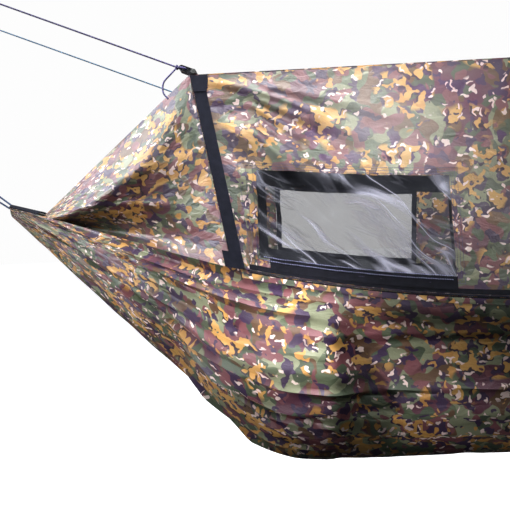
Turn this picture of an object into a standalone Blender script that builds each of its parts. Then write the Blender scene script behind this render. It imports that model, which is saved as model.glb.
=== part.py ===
"""Tent hammock: a gathered-end cloth bed under a zipped canopy with film windows, with its poles, straps and cords.

Metres, +Z up, +X along the hammock, -Y the front. The origin is halfway between the two rope eyes.
"""

import math

import bmesh
import bpy
import numpy as np
from mathutils import Matrix, Vector

# Gathered ends
EYE_X = 1.52            # centre of the eye that the ropes make, from the middle
TIP_X = 1.42            # gathered end of the bed
TIP_HALF_WIDTH = 0.014
TIP_Z = -0.072

# Rim of the bed, where the canopy is zipped on
RIM_LOW_Z = -0.340      # lowest point of the rim, at the middle
RIM_RADIUS = 3.40       # the rim and its zipper follow an arc of this radius
RIM_HALF_WIDTH = 0.26
RIM_STRAIGHT_X = 0.82   # the rim keeps its width up to here, then narrows to the tip
CLOTH = 0.002
SEAM_GAP = 0.0005       # clearance between cloth layers

# Bottom of the bed
FLOOR_Z = -0.710
FLOOR_END_X = 0.715     # where the flat floor turns up towards the tip
FLOOR_TURN = 0.022      # softness of that turn
FLOOR_SAG = 0.024
FLOOR_SQUARENESS = 8.0
TIP_SQUARENESS = 2.1
BELLY = 0.018           # how far the bed's side stands out past its rim
BED_FOLD = 0.009
BED_FOLDS = 3.5

# Canopy
ROOF_Z = 0.204
ROOF_HALF_LENGTH = 0.888
ROOF_HALF_WIDTH = 0.200
ROOF_SAG = 0.012
FOOT_X = 0.807          # where the straps reach the rim
RIDGE_END_X = 1.315     # where the end panel's ridges come down on the rim
RIDGE_END_HALF_WIDTH = 0.036
RIDGE_END_Z = -0.099
END_TUCK = 0.020        # how far an end panel reaches down inside the bed
END_INSET = 0.050       # how far its lower edge is drawn in from the rim
END_GAP = 0.0020        # from the walls and roof to an end panel
GUSSET_SAG = 0.014
GUSSET_RIPPLE = 0.008
WALL_FOLD = 0.011
WALL_FOLDS = 2.2
WALL_DRAW = 0.009       # how far a wall is drawn in between its seams

# Windows
WINDOWS = {
    "front": {"left": -0.745, "right": -0.305, "top": 0.036, "bottom": 0.028, "start": 0.020, "end": 0.006},
    "back": {"left": -0.700, "right": -0.270, "top": 0.020, "bottom": 0.016, "start": 0.016, "end": 0.016},
}                       # the openings' ends, and the widths of the binding on their four sides
WINDOW_TOP = 0.49       # shares of the wall's height, from the roof
WINDOW_BOTTOM = 0.93
WALL_PLAIN_X = 0.745    # between the straps' folds
FILM = 0.0008
FILM_DEPTH = 0.0004
FRAME = 0.0012

# Zippers
ZIP_END_X = 0.768
CHAIN_HALF_WIDTH = 0.0025
CHAIN = 0.0024
TAPE_WIDTH = 0.012
TAPE = 0.0012
SLIDER_REST_X = 0.740
SLIDER_LENGTH = 0.015
SLIDER_FLANGE = 0.0020
SLIDER_PLATE = 0.0018
SLIDER_CLEARANCE = 0.0010
PEG_RADIUS = 0.0011
PEG_HEAD_RADIUS = 0.0026
PEG_HEAD = 0.0010
PULL_LENGTH = 0.030
PULL_WIDTH = 0.0075
PULL = 0.0014
PULL_PLAY = 0.0004

# Webbing
WEBBING_WIDTH = 0.030
WEBBING = 0.0016
STRAP_TAB_RISE = 0.035  # a tab's length above the rim
STRAP_TAB_DROP = 0.003  # and below it
STRAP_TAB_OUT = 0.016   # how far it stands out past the strap's edge, towards the tip
STRAP_TAB_IN = 0.018    # and how far it lies on the strap
LOOP_LENGTH = 0.030

# Hems over the gathered tips
HEM_START = 0.022       # from the end of the ridges
HEM_OVERHANG = 0.0003
HEM_CROWN = 0.006

# Spreader poles
POLE_RADIUS = 0.0045
POLE_PLAY = 0.0004

# Cords
GUY_DIAMETER = 0.004
GUY_END_X = 1.55
GUY_SLOPE = 0.412
GUY_EYE_RADIUS = 0.013
KNOT_RADIUS = 0.0065
ROPE_DIAMETER = 0.005
ROPE_EYE_RADIUS = 0.013
ROPE_SPREAD = 0.005     # half the distance between the strands where they leave the bed
TAIL_ROUTE = ((0, 0, 0), (0.010, 0.006, -0.012), (0.026, 0.018, -0.034), (0.027, 0.024, -0.058), (0.016, 0.027, -0.074))

# Sleeping pad
PAD_HALF_LENGTH = 0.62
PAD_HALF_WIDTH = 0.180
PAD_THICKNESS = 0.045
PAD_SEAT = 0.0052       # from the bed's cloth up to the pad's underside
PAD_EDGE = 0.014

# Mesh steps
BED_MIDDLE_STEPS = 18
BED_END_STEPS = 7
BED_SECTION_STEPS = 16
WINDOW_STEPS = 5
WALL_STEPS = 10
SEAM_STEPS = 32
GAP = 0.0003

SIDES = (("front", -1), ("back", 1))
ENDS = (("left", -1), ("right", 1))
INSIDE = np.array([0.0, 0.0, -0.22])

COLOURS = {
    "camouflage": ((0.17, 0.17, 0.11), 0.60, 0.0),
    "black_webbing": ((0.020, 0.021, 0.030), 0.80, 0.0),
    "black_mesh": ((0.012, 0.012, 0.014), 0.70, 0.0),
    "clear_film": ((0.80, 0.81, 0.82), 0.12, 0.0),
    "zip_tape": ((0.020, 0.020, 0.032), 0.75, 0.0),
    "zip_teeth": ((0.030, 0.030, 0.045), 0.35, 0.0),
    "zip_metal": ((0.045, 0.045, 0.050), 0.35, 0.9),
    "cord": ((0.035, 0.035, 0.075), 0.65, 0.0),
    "pole": ((0.10, 0.10, 0.11), 0.35, 0.0),
    "pad": ((0.10, 0.12, 0.07), 0.80, 0.0),
}


def material(name):
    """One Principled material for each kind of surface."""
    found = bpy.data.materials.get(name)
    if found:
        return found
    colour, roughness, metallic = COLOURS[name]
    made = bpy.data.materials.new(name)
    made.use_nodes = True
    shader = made.node_tree.nodes["Principled BSDF"]
    shader.inputs["Base Color"].default_value = (*colour, 1.0)
    shader.inputs["Roughness"].default_value = roughness
    shader.inputs["Metallic"].default_value = metallic
    return made


def place(name, mesh, kind, origin=(0.0, 0.0, 0.0)):
    """Makes an object of a bmesh in world coordinates, with its own origin."""
    bmesh.ops.recalc_face_normals(mesh, faces=mesh.faces)
    bmesh.ops.translate(mesh, verts=mesh.verts, vec=-Vector(origin))
    data = bpy.data.meshes.new(name)
    mesh.to_mesh(data)
    mesh.free()
    data.shade_smooth()
    data.set_sharp_from_angle(angle=math.radians(40))
    data.materials.append(material(kind))
    obj = bpy.data.objects.new(name, data)
    obj.location = origin
    bpy.context.scene.collection.objects.link(obj)
    return obj


def hide_tool(obj):
    obj.hide_render = True
    obj.display_type = "WIRE"


def combine(obj, tool, operation):
    hide_tool(tool)
    step = obj.modifiers.new(operation.lower(), "BOOLEAN")
    step.object = tool
    step.operation = operation


def unit(vectors):
    return vectors / np.linalg.norm(vectors, axis=-1, keepdims=True)


def smooth(t):
    t = np.clip(t, 0.0, 1.0)
    return t * t * (3.0 - 2.0 * t)


def mix(a, b, t):
    return a + (b - a) * t


# Closed solids
def normals(grid):
    """Unit normals of a grid of points, away from the inside of the hammock."""
    found = unit(np.cross(np.gradient(grid, axis=0), np.gradient(grid, axis=1)))
    return found if np.sum(found * (grid - INSIDE)) > 0.0 else -found


def shell(name, grid, thickness, kind, outset=0.0, holes=()):
    """A closed solid: its inner side lies outset beyond the grid where outset is given, else its outer side is the grid."""
    way = normals(grid)
    outer = grid + way * (outset + thickness if outset else 0.0)
    inner = outer - way * thickness
    rows, columns = grid.shape[:2]
    kept = {(i, j) for i in range(rows - 1) for j in range(columns - 1)} - set(holes)
    mesh = bmesh.new()
    points = sorted({(i + a, j + b) for i, j in kept for a in (0, 1) for b in (0, 1)})
    outside = {p: mesh.verts.new(outer[p]) for p in points}
    inside = {p: mesh.verts.new(inner[p]) for p in points}
    for i, j in sorted(kept):
        loop = [(i, j), (i + 1, j), (i + 1, j + 1), (i, j + 1)]
        for half in (loop[:3], [loop[0], *loop[2:]]):
            mesh.faces.new([outside[p] for p in half])
            mesh.faces.new([inside[p] for p in reversed(half)])
        beyond = [(i, j - 1), (i + 1, j), (i, j + 1), (i - 1, j)]
        for p, q, cell in zip(loop, loop[1:] + loop[:1], beyond):
            if cell not in kept:
                mesh.faces.new([outside[q], outside[p], inside[p], inside[q]])
    return place(name, mesh, kind)


def prism(name, profile, start, along, up, length, kind, origin=(0.0, 0.0, 0.0)):
    """A profile of (across, up) points, extruded from start."""
    along, up = Vector(along).normalized(), Vector(up).normalized()
    across = up.cross(along)
    mesh = bmesh.new()
    ends = [
        [mesh.verts.new(Vector(start) + along * s + across * a + up * b) for a, b in profile] for s in (0.0, length)
    ]
    count = len(profile)
    for k in range(count):
        mesh.faces.new([ends[0][k], ends[0][(k + 1) % count], ends[1][(k + 1) % count], ends[1][k]])
    mesh.faces.new(ends[0])
    mesh.faces.new(ends[1])
    return place(name, mesh, kind, origin)


def turned(name, profile, base, axis, kind, sides=16, origin=(0.0, 0.0, 0.0)):
    """A profile of (radius, height) points turned about an axis and closed at both ends."""
    turn = Vector(axis).to_track_quat("Z", "Y")
    mesh = bmesh.new()
    rings = []
    for radius, height in profile:
        ring = []
        for k in range(sides):
            angle = 2.0 * math.pi * k / sides
            ring.append(mesh.verts.new(Vector(base) + turn @ Vector((radius * math.cos(angle), radius * math.sin(angle), height))))
        rings.append(ring)
    for low, high in zip(rings, rings[1:]):
        for k in range(sides):
            mesh.faces.new([low[k], low[(k + 1) % sides], high[(k + 1) % sides], high[k]])
    mesh.faces.new(rings[0])
    mesh.faces.new(rings[-1])
    return place(name, mesh, kind, origin)


def smooth_route(points, spacing):
    """Evenly spaced points along a Catmull-Rom curve."""
    p = np.array(points, float)
    p = np.concatenate([[2.0 * p[0] - p[1]], p, [2.0 * p[-1] - p[-2]]])
    dense = [
        0.5 * (2 * b + (c - a) * t + (2 * a - 5 * b + 4 * c - d) * t**2 + (3 * b - a - 3 * c + d) * t**3)
        for a, b, c, d in zip(p, p[1:], p[2:], p[3:])
        for t in np.linspace(0.0, 1.0, 24, endpoint=False)
    ]
    dense = np.array(dense + [p[-2]])
    run = np.concatenate([[0.0], np.cumsum(np.linalg.norm(np.diff(dense, axis=0), axis=1))])
    even = np.linspace(0.0, run[-1], max(int(round(run[-1] / spacing)), 3) + 1)
    return np.stack([np.interp(even, run, dense[:, k]) for k in range(3)], 1)


def tube(name, points, diameter, kind, closed=False):
    """A round cord along points."""
    curve = bpy.data.curves.new(name, "CURVE")
    curve.dimensions = "3D"
    curve.bevel_depth = diameter / 2.0
    curve.bevel_resolution = 2
    curve.use_fill_caps = not closed
    spline = curve.splines.new("POLY")
    spline.points.add(len(points) - 1)
    for point, co in zip(spline.points, points):
        point.co = (*co, 1.0)
    spline.use_cyclic_u = closed
    spline.use_smooth = True
    curve.materials.append(material(kind))
    obj = bpy.data.objects.new(name, curve)
    bpy.context.scene.collection.objects.link(obj)
    return obj


# Shape of the rim and the bed
def rim_half_width(x):
    share = np.clip((abs(x) - RIM_STRAIGHT_X) / (TIP_X - RIM_STRAIGHT_X), 0.0, 1.0)
    return mix(RIM_HALF_WIDTH, TIP_HALF_WIDTH, 0.35 * share + 0.65 * smooth(share))


def rim_height(x):
    """An arc along the zipper, then a straight run up to the gathered tip."""
    arc = RIM_LOW_Z + RIM_RADIUS - math.sqrt(RIM_RADIUS**2 - min(abs(x), RIM_STRAIGHT_X) ** 2)
    share = max(abs(x) - RIM_STRAIGHT_X, 0.0) / (TIP_X - RIM_STRAIGHT_X)
    return mix(arc, TIP_Z, share)


def rim_point(x, side):
    return np.array([x, side * rim_half_width(x), rim_height(x)])


def floor_height(x):
    """Flat under the pad, then up to the gathered tip with a little sag."""
    reach = TIP_X - FLOOR_END_X
    turn = FLOOR_TURN * math.log1p(math.exp(min((abs(x) - FLOOR_END_X) / FLOOR_TURN, 60.0)))
    rise = TIP_Z - 2.0 * TIP_HALF_WIDTH - FLOOR_Z
    sag = FLOOR_SAG * math.sin(math.pi * np.clip((abs(x) - FLOOR_END_X) / reach, 0.0, 1.0))
    return FLOOR_Z + rise * turn / reach - sag


def bed_section(x):
    """Outer points across the bed at x, from the front rim round the floor to the back rim."""
    squareness = mix(FLOOR_SQUARENESS, TIP_SQUARENESS, smooth((abs(x) - 0.9 * FLOOR_END_X) / (0.45 * FLOOR_END_X)))
    angle = np.linspace(0.0, math.pi, 181)
    across = np.sign(np.cos(angle)) * np.abs(np.cos(angle)) ** (2.0 / squareness)
    down = np.abs(np.sin(angle)) ** (2.0 / squareness)
    belly = BELLY * rim_half_width(x) / RIM_HALF_WIDTH
    y = -across * (rim_half_width(x) + belly * np.sin(math.pi * down) ** 2)
    z = mix(rim_height(x), floor_height(x), down)
    run = np.concatenate([[0.0], np.cumsum(np.hypot(np.diff(y), np.diff(z)))])
    share = np.linspace(0.0, 1.0, BED_SECTION_STEPS + 1)
    y, z = (np.interp(share * run[-1], run, values) for values in (y, z))
    reach = smooth((abs(x) - FLOOR_END_X) / 0.25) * smooth((TIP_X - abs(x)) / 0.12)
    wave = BED_FOLD * reach * np.sin(math.pi * share) ** 2 * np.sin(2.0 * math.pi * BED_FOLDS * share)
    turn_y, turn_z = np.gradient(y), np.gradient(z)
    size = np.hypot(turn_y, turn_z)
    return np.stack([np.full(len(y), x), y + wave * turn_z / size, z - wave * turn_y / size], 1)


def seam_drop():
    """From the rim's line to the cloth's cut edge, under the zipper's teeth."""
    return 0.6 * CHAIN_HALF_WIDTH


def bed_grid():
    outer = np.linspace(FOOT_X, TIP_X, BED_END_STEPS + 1)[1:]
    middle = np.linspace(-FOOT_X, FOOT_X, BED_MIDDLE_STEPS + 1)
    grid = np.array([bed_section(x) for x in (*-outer[::-1], *middle, *outer)])
    for edge, inward in ((0, 1), (-1, -2)):
        grid[:, edge] += unit(grid[:, inward] - grid[:, edge]) * seam_drop()
    return grid


# Shape of the canopy
def corner(end, side):
    """Where the roof, a wall and an end panel meet."""
    return np.array([end * ROOF_HALF_LENGTH, side * ROOF_HALF_WIDTH, ROOF_Z])


def wall_columns(side):
    """Distances along the hammock of a wall's columns, at the rim and at the roof. The outer two at each end hold a strap."""
    window = WINDOWS["front" if side < 0 else "back"]
    strap = WEBBING_WIDTH + 0.002
    low = np.array([FOOT_X, *np.linspace(FOOT_X - strap, WALL_PLAIN_X, 4)])
    high = np.array([ROOF_HALF_LENGTH, *np.linspace(ROOF_HALF_LENGTH - strap, WALL_PLAIN_X, 4)])
    middle = np.linspace(window["left"], window["right"], WINDOW_STEPS + 1)
    middle = np.array([*middle, *np.linspace(window["right"], WALL_PLAIN_X, WALL_STEPS + 1)[1:-1]])
    middle = middle[middle > 1e-6 - WALL_PLAIN_X]
    return np.array([*-low, *middle, *low[::-1]]), np.array([*-high, *middle, *high[::-1]])


def wall_shares():
    """Shares of the wall's height at its rows, with rows on both edges of the window."""
    return np.concatenate([np.linspace(0, WINDOW_TOP, 9), np.linspace(WINDOW_TOP, WINDOW_BOTTOM, 7)[1:], [0.96, 1.0]])


def wall_edges(side):
    """The ends of a wall's columns at the roof and on the rim."""
    low_x, high_x = wall_columns(side)
    low = np.array([rim_point(x, side) for x in low_x])
    high = np.stack([high_x, np.full(len(high_x), side * ROOF_HALF_WIDTH), np.full(len(high_x), ROOF_Z - CLOTH - SEAM_GAP)], 1)
    return low, high


def wall_bulge(x, share):
    """Folds that fan out from the roof's corners and a slight draw inwards, none of it at a seam or a strap."""
    edge = np.sin(math.pi * np.clip(share / 0.96, 0.0, 1.0))
    reach = np.maximum(ROOF_HALF_LENGTH - WEBBING_WIDTH - 0.002 - np.abs(x) - (ROOF_HALF_LENGTH - FOOT_X) * share, 0.0)
    fan = np.sin(2.0 * math.pi * WALL_FOLDS * share * 0.5 / (reach + 0.22))
    return edge * (WALL_FOLD * smooth(reach / 0.06) * np.exp(-reach / 0.30) * fan - WALL_DRAW * smooth(reach / 0.30))


def wall_grid(side):
    low, high = wall_edges(side)
    low = low + unit(high - low) * seam_drop()
    share = wall_shares()[None, :]
    grid = high[:, None] + (low - high)[:, None] * share[..., None]
    grid[:, :, 1] += side * wall_bulge(grid[:, :, 0], share)
    return grid


def wall_patch(side, xs, shares):
    """Points on a wall's outer side at distances along the hammock and shares of the wall's height."""
    grid, rows = wall_grid(side), wall_shares()
    columns = wall_columns(side)[0]
    lines = np.array([[[np.interp(s, rows, grid[i, :, k]) for k in range(3)] for s in shares] for i in range(len(columns))])
    return np.array([[[np.interp(x, columns, lines[:, j, k]) for k in range(3)] for j in range(len(shares))] for x in xs])


def end_grid(end):
    """Outer points of an end panel, from the straps to the tip, and from the front rim over both ridges to the back rim."""
    rows = []
    for share in np.linspace(0.0, 1.0, 10):
        halves = []
        for side in (-1, 1):
            high = mix(corner(end, side), np.array([end * RIDGE_END_X, side * RIDGE_END_HALF_WIDTH, RIDGE_END_Z]), share)
            low = rim_point(end * mix(FOOT_X, RIDGE_END_X + 0.01, share), side)
            low[1] -= side * (CLOTH + 0.004 + 0.010 * smooth(share * 4.0))
            bow = math.sin(math.pi * share)
            low[2] -= END_TUCK * smooth(share * 5.0)
            down = np.linspace(0.0, 1.0, 7)
            line = high + (low - high) * down[:, None]
            hollow = GUSSET_SAG * bow * np.sin(math.pi * down) + END_INSET * bow * down**3
            ripple = GUSSET_RIPPLE * bow * np.sin(math.pi * down) * np.sin(2.0 * math.pi * (1.5 * down + share))
            line[:, 1] -= side * (hollow + ripple)
            halves.append(line)
        crown = halves[0][0] + (halves[1][0] - halves[0][0]) * np.linspace(0.0, 1.0, 5)[1:-1, None]
        rows.append(np.concatenate([halves[0][::-1], crown, halves[1]]))
    grid = np.array(rows)
    grid[:, :, 0] += end * END_GAP
    return grid


def roof_grid():
    x = np.linspace(-ROOF_HALF_LENGTH, ROOF_HALF_LENGTH, 15)
    y = np.linspace(-ROOF_HALF_WIDTH, ROOF_HALF_WIDTH, 5)
    grid = np.array([[[a, b, ROOF_Z] for b in y] for a in x])
    grid[:, :, 2] -= ROOF_SAG * np.cos(math.pi / 2 * x / ROOF_HALF_LENGTH)[:, None] * np.cos(math.pi / 2 * y / ROOF_HALF_WIDTH)
    return grid


# Pieces
def make_cloth():
    shell("bed", bed_grid(), CLOTH, "camouflage")
    shell("roof_panel", roof_grid(), CLOTH, "camouflage")
    for name, end in ENDS:
        shell(f"end_panel_{name}", end_grid(end), CLOTH, "camouflage")
    shares = wall_shares()
    for name, side in SIDES:
        columns, window = wall_columns(side)[0], WINDOWS[name]
        holes = [
            (i, j)
            for i in range(len(columns) - 1)
            for j in range(len(shares) - 1)
            if window["left"] < (columns[i] + columns[i + 1]) / 2 < window["right"]
            and WINDOW_TOP < (shares[j] + shares[j + 1]) / 2 < WINDOW_BOTTOM
        ]
        shell(f"wall_{name}", wall_grid(side), CLOTH, "camouflage", holes=holes)


def make_windows():
    """A film in each wall's opening, with a black binding behind its edges."""
    height = ROOF_Z - RIM_LOW_Z
    play = SEAM_GAP / height
    rows = wall_shares()
    for name, side in SIDES:
        columns, window = wall_columns(side)[0], WINDOWS[name]
        left, right = window["left"] + window["start"], window["right"] - window["end"]
        inner = columns[(columns > left + 0.01) & (columns < right - 0.01)]
        xs = [window["left"] + SEAM_GAP, left, *inner, right, window["right"] - SEAM_GAP]
        top, bottom = WINDOW_TOP + window["top"] / height, WINDOW_BOTTOM - window["bottom"] / height
        between = rows[(rows > top + 0.01) & (rows < bottom - 0.01)]
        shares = [WINDOW_TOP + play, top, *between, bottom, WINDOW_BOTTOM - play]
        holes = [(i, j) for i in range(1, len(xs) - 2) for j in range(1, len(shares) - 2)]
        grid = wall_patch(side, xs, shares)
        way = normals(grid)
        shell(f"window_film_{name}", grid - way * FILM_DEPTH, FILM, "clear_film")
        shell(f"window_binding_{name}", grid - way * (FILM_DEPTH + FILM + GAP), FRAME, "black_mesh", holes=holes)


def make_straps():
    """Webbing down each slanted edge of the walls, with a square tab sewn over its foot."""
    for side_name, side in SIDES:
        grid = wall_grid(side)
        for end_name, end in ENDS:
            edge, inward = (grid[0], grid[1]) if end < 0 else (grid[-1], grid[-2])
            way = unit(inward - edge)
            inward = edge + way * WEBBING_WIDTH
            strap = np.stack([edge, inward], 0)
            shell(f"strap_{side_name}_{end_name}", strap, WEBBING, "black_webbing", outset=SEAM_GAP)
            up = unit(edge[-2] - edge[-1])
            ends = edge[-1] - way[-1] * STRAP_TAB_OUT, edge[-1] + way[-1] * STRAP_TAB_IN
            tab = np.array([[p + up * rise for rise in (-STRAP_TAB_DROP, STRAP_TAB_RISE)] for p in ends])
            shell(
                f"strap_tab_{side_name}_{end_name}", tab, WEBBING, "black_webbing", outset=2.0 * SEAM_GAP + WEBBING
            )


def strip(side, near, far, stations, direction):
    """Two rows of points beside the rim's arc, near and far from it, along a direction given at each station."""
    return np.array([[rim_point(x, side) + direction(x) * v for v in (near, far)] for x in stations])


def make_zippers():
    """Teeth along the rim between an upper tape on the wall and a lower tape on the bed."""
    stations = np.linspace(-ZIP_END_X, ZIP_END_X, SEAM_STEPS + 1)
    bed = bed_grid()
    reach = CHAIN_HALF_WIDTH + GAP
    for name, side in SIDES:
        edge = 0 if side < 0 else -1
        inward = 1 if side < 0 else -2

        def upwards(x, side=side):
            top = np.array([x, side * ROOF_HALF_WIDTH, ROOF_Z - CLOTH - SEAM_GAP])
            return unit(top - rim_point(x, side))

        def downwards(x, bed=bed, edge=edge, inward=inward):
            facets = unit(bed[:, inward] - bed[:, edge])
            return unit(np.array([np.interp(x, bed[:, edge, 0], facets[:, k]) for k in range(3)]) * (0, 1, 1))

        upper = strip(side, reach, reach + TAPE_WIDTH, stations, upwards)
        lower = strip(side, reach, reach + TAPE_WIDTH, stations, downwards)
        shell(f"zip_tape_upper_{name}", upper, TAPE, "zip_tape", outset=GAP)
        shell(f"zip_tape_lower_{name}", lower, TAPE, "zip_tape", outset=GAP)
        flat = strip(side, -CHAIN_HALF_WIDTH, CHAIN_HALF_WIDTH, stations, lambda x: arc_up(x))
        shell(f"zip_teeth_{name}", flat, CHAIN, "zip_teeth", outset=SEAM_GAP)
        make_slider(name, side)


def arc_up(x):
    """The direction from a point of the rim's arc to the arc's centre."""
    return np.array([-x / RIM_RADIUS, 0.0, math.sqrt(1.0 - (x / RIM_RADIUS) ** 2)])


def make_slider(name, side):
    """A slider that rides the teeth along the arc, with a pull that hangs from its peg."""
    centre = (0.0, side * RIM_HALF_WIDTH, RIM_LOW_Z + RIM_RADIUS)
    up, out = Vector(arc_up(SLIDER_REST_X)), Vector((0.0, side, 0.0))
    along = up.cross(out)
    middle = Vector(rim_point(SLIDER_REST_X, side))
    clear = CHAIN_HALF_WIDTH + GAP
    half = clear + SLIDER_FLANGE
    low, ceiling = GAP + TAPE + SLIDER_CLEARANCE, SEAM_GAP + CHAIN + GAP
    top = ceiling + SLIDER_PLATE
    profile = [(-half, low), (-half, top), (half, top), (half, low), (clear, low), (clear, ceiling), (-clear, ceiling), (-clear, low)]
    start = middle - along * SLIDER_LENGTH / 2.0
    slider = prism(f"zip_slider_{name}", profile, start, along, out, SLIDER_LENGTH, "zip_metal", origin=centre)
    neck = top + 2.0 * PULL_PLAY + PULL
    peg = [(PEG_RADIUS, top - 0.0008), (PEG_RADIUS, neck), (PEG_HEAD_RADIUS, neck), (PEG_HEAD_RADIUS, neck + PEG_HEAD)]
    combine(slider, turned(f"peg_{name}", peg, middle, out, "zip_metal"), "UNION")
    pivot = middle + out * (top + PULL_PLAY)
    width = PULL_WIDTH / 2.0
    tab = [(-width, 0.0), (width, 0.0), (width, PULL), (-width, PULL)]
    pull = prism(f"zip_pull_{name}", tab, pivot + Vector((0, 0, width)), (0, 0, -1), out, PULL_LENGTH, "zip_metal", origin=pivot)
    hole = [(PEG_RADIUS + PULL_PLAY, -0.002), (PEG_RADIUS + PULL_PLAY, PULL + 0.002)]
    combine(pull, turned(f"pull_hole_{name}", hole, pivot, out, "zip_metal"), "DIFFERENCE")


def corner_loop_frame(end, side):
    """The middle of the pole, and the outward direction, in a corner loop."""
    bore = POLE_RADIUS + POLE_PLAY
    middle = corner(end, side) + np.array([-end * (bore + 2.0 * WEBBING), -side * (0.002 + WEBBING_WIDTH / 2), SEAM_GAP + WEBBING + bore])
    return middle, unit(np.array([end, 0.0, GUY_SLOPE]))


def make_corner_loops():
    """A flat loop of webbing on each corner of the roof. A spreader pole lies in its near end and the guy pulls on its far end."""
    bore = POLE_RADIUS + POLE_PLAY
    for side_name, side in SIDES:
        for end_name, end in ENDS:
            middle, away = corner_loop_frame(end, side)
            upright = np.cross(away, (0.0, end, 0.0))
            outline = []
            for centre, first in ((LOOP_LENGTH, -90), (0.0, 90)):
                for k in range(9):
                    angle = math.radians(first + 22.5 * k)
                    outline.append((centre, math.cos(angle), math.sin(angle)))
            mesh = bmesh.new()
            rings = []
            for centre, c, s in outline:
                ring = []
                for radius, y in ((bore, -0.5), (bore, 0.5), (bore + WEBBING, 0.5), (bore + WEBBING, -0.5)):
                    point = middle + away * (centre + radius * c) + upright * radius * s
                    ring.append(mesh.verts.new(point + np.array([0.0, y * WEBBING_WIDTH, 0.0])))
                rings.append(ring)
            for ring, following in zip(rings, rings[1:] + rings[:1]):
                for k in range(4):
                    mesh.faces.new([ring[k], ring[(k + 1) % 4], following[(k + 1) % 4], following[k]])
            place(f"corner_loop_{side_name}_{end_name}", mesh, "black_webbing")


def make_poles():
    for end_name, end in ENDS:
        middle, _ = corner_loop_frame(end, -1)
        reach = ROOF_HALF_WIDTH
        profile = [(POLE_RADIUS - 0.001, 0.0), (POLE_RADIUS, 0.001), (POLE_RADIUS, 2 * reach - 0.001), (POLE_RADIUS - 0.001, 2 * reach)]
        turned(f"spreader_pole_{end_name}", profile, (middle[0], -reach, middle[2]), (0, 1, 0), "pole")


def make_guys():
    """A knot at each corner loop, its free tail, and the guy that runs out to a tied eye."""
    bore = POLE_RADIUS + POLE_PLAY
    for side_name, side in SIDES:
        for end_name, end in ENDS:
            middle, away = corner_loop_frame(end, side)
            knot = middle + away * (LOOP_LENGTH + bore + WEBBING + GAP + KNOT_RADIUS)
            angles = np.radians(np.linspace(-80.0, 80.0, 9))
            ball = [(KNOT_RADIUS * math.cos(a), KNOT_RADIUS * math.sin(a)) for a in angles]
            turned(f"guy_knot_{side_name}_{end_name}", ball, knot, away, "cord", sides=12)
            start = knot + away * (KNOT_RADIUS + GAP)
            end_distance = (GUY_END_X - abs(start[0])) / abs(away[0])
            count = int(end_distance / (3.0 * GUY_DIAMETER))
            run = [start + away * d for d in np.linspace(0.0, end_distance, count + 1)]
            tube(f"guy_{side_name}_{end_name}", run, GUY_DIAMETER, "cord")
            eye = run[-1] + away * (GUY_EYE_RADIUS + GUY_DIAMETER / 2 + GAP)
            upright = np.cross(away, (0.0, end, 0.0))
            circle = [
                eye + (away * math.cos(a) + upright * math.sin(a)) * GUY_EYE_RADIUS
                for a in np.linspace(0.0, 2.0 * math.pi, 16, endpoint=False)
            ]
            tube(f"guy_eye_{side_name}_{end_name}", circle, GUY_DIAMETER, "cord", closed=True)
            turns = [np.array([end * x, side * y, z]) for x, y, z in TAIL_ROUTE]
            foot = knot + unit(turns[1]) * (KNOT_RADIUS + GAP)
            tail = [foot + turn for turn in turns]
            tube(f"guy_tail_{side_name}_{end_name}", smooth_route(tail, 2.5 * GUY_DIAMETER), GUY_DIAMETER, "cord")


def make_ropes():
    """A black hem over each gathered tip, and the rope that comes out of it, makes the eye and runs back in."""
    for name, end in ENDS:
        grid = []
        for x in np.linspace(RIDGE_END_X + HEM_START, TIP_X + HEM_OVERHANG, 6):
            half = rim_half_width(x) + 0.003
            rise = rim_height(x) + CLOTH + SEAM_GAP - seam_drop() - HEM_CROWN / 3.0
            grid.append([[end * x, y * half, rise + HEM_CROWN * (1 - y * y)] for y in (-1, -0.5, 0, 0.5, 1)])
        grid = np.array(grid)
        shell(f"hem_{name}", grid, CLOTH, "black_mesh")
        eye = np.array([end * EYE_X, 0.0, 0.0])
        away = unit(eye - np.array([end * TIP_X, 0.0, TIP_Z]))
        start = np.array([end * (TIP_X + GAP + (ROPE_SPREAD + ROPE_DIAMETER / 2) * away[2]), 0.0, TIP_Z + 0.001])
        upright = np.array([-end * away[2], 0.0, abs(away[0])])
        upper = [start + upright * ROPE_SPREAD, mix(start, eye, 0.4) + upright * (ROPE_SPREAD + 0.002)]
        bend = [
            eye + (away * math.cos(a) + upright * math.sin(a)) * ROPE_EYE_RADIUS
            for a in np.radians(np.linspace(110.0, -110.0, 9))
        ]
        lower = [mix(start, eye, 0.4) - upright * (ROPE_SPREAD + 0.002), start - upright * ROPE_SPREAD]
        tube(f"suspension_rope_{name}", smooth_route([*upper, *bend, *lower], 2.2 * ROPE_DIAMETER), ROPE_DIAMETER, "cord")


def make_pad():
    """The pad that lies on the floor and keeps it flat."""
    low = FLOOR_Z + CLOTH + PAD_SEAT
    mesh = bmesh.new()
    size = (2 * PAD_HALF_LENGTH, 2 * PAD_HALF_WIDTH, PAD_THICKNESS)
    middle = Matrix.Translation((0.0, 0.0, low + PAD_THICKNESS / 2))
    bmesh.ops.create_cube(mesh, size=1.0, matrix=middle @ Matrix.Diagonal((*size, 1.0)))
    bmesh.ops.bevel(mesh, geom=mesh.edges, offset=PAD_EDGE, segments=3, profile=0.5, affect="EDGES")
    place("sleeping_pad", mesh, "pad")


def main():
    for obj in list(bpy.data.objects):
        bpy.data.objects.remove(obj)
    make_cloth()
    make_windows()
    make_straps()
    make_zippers()
    make_corner_loops()
    make_poles()
    make_guys()
    make_ropes()
    make_pad()


main()
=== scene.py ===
"""Looks of the tent hammock: printed camouflage cloth, film windows, webbing, zippers, cords and a studio."""

import math

import bmesh
import bpy
import numpy as np
from mathutils import Matrix, Vector


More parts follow.
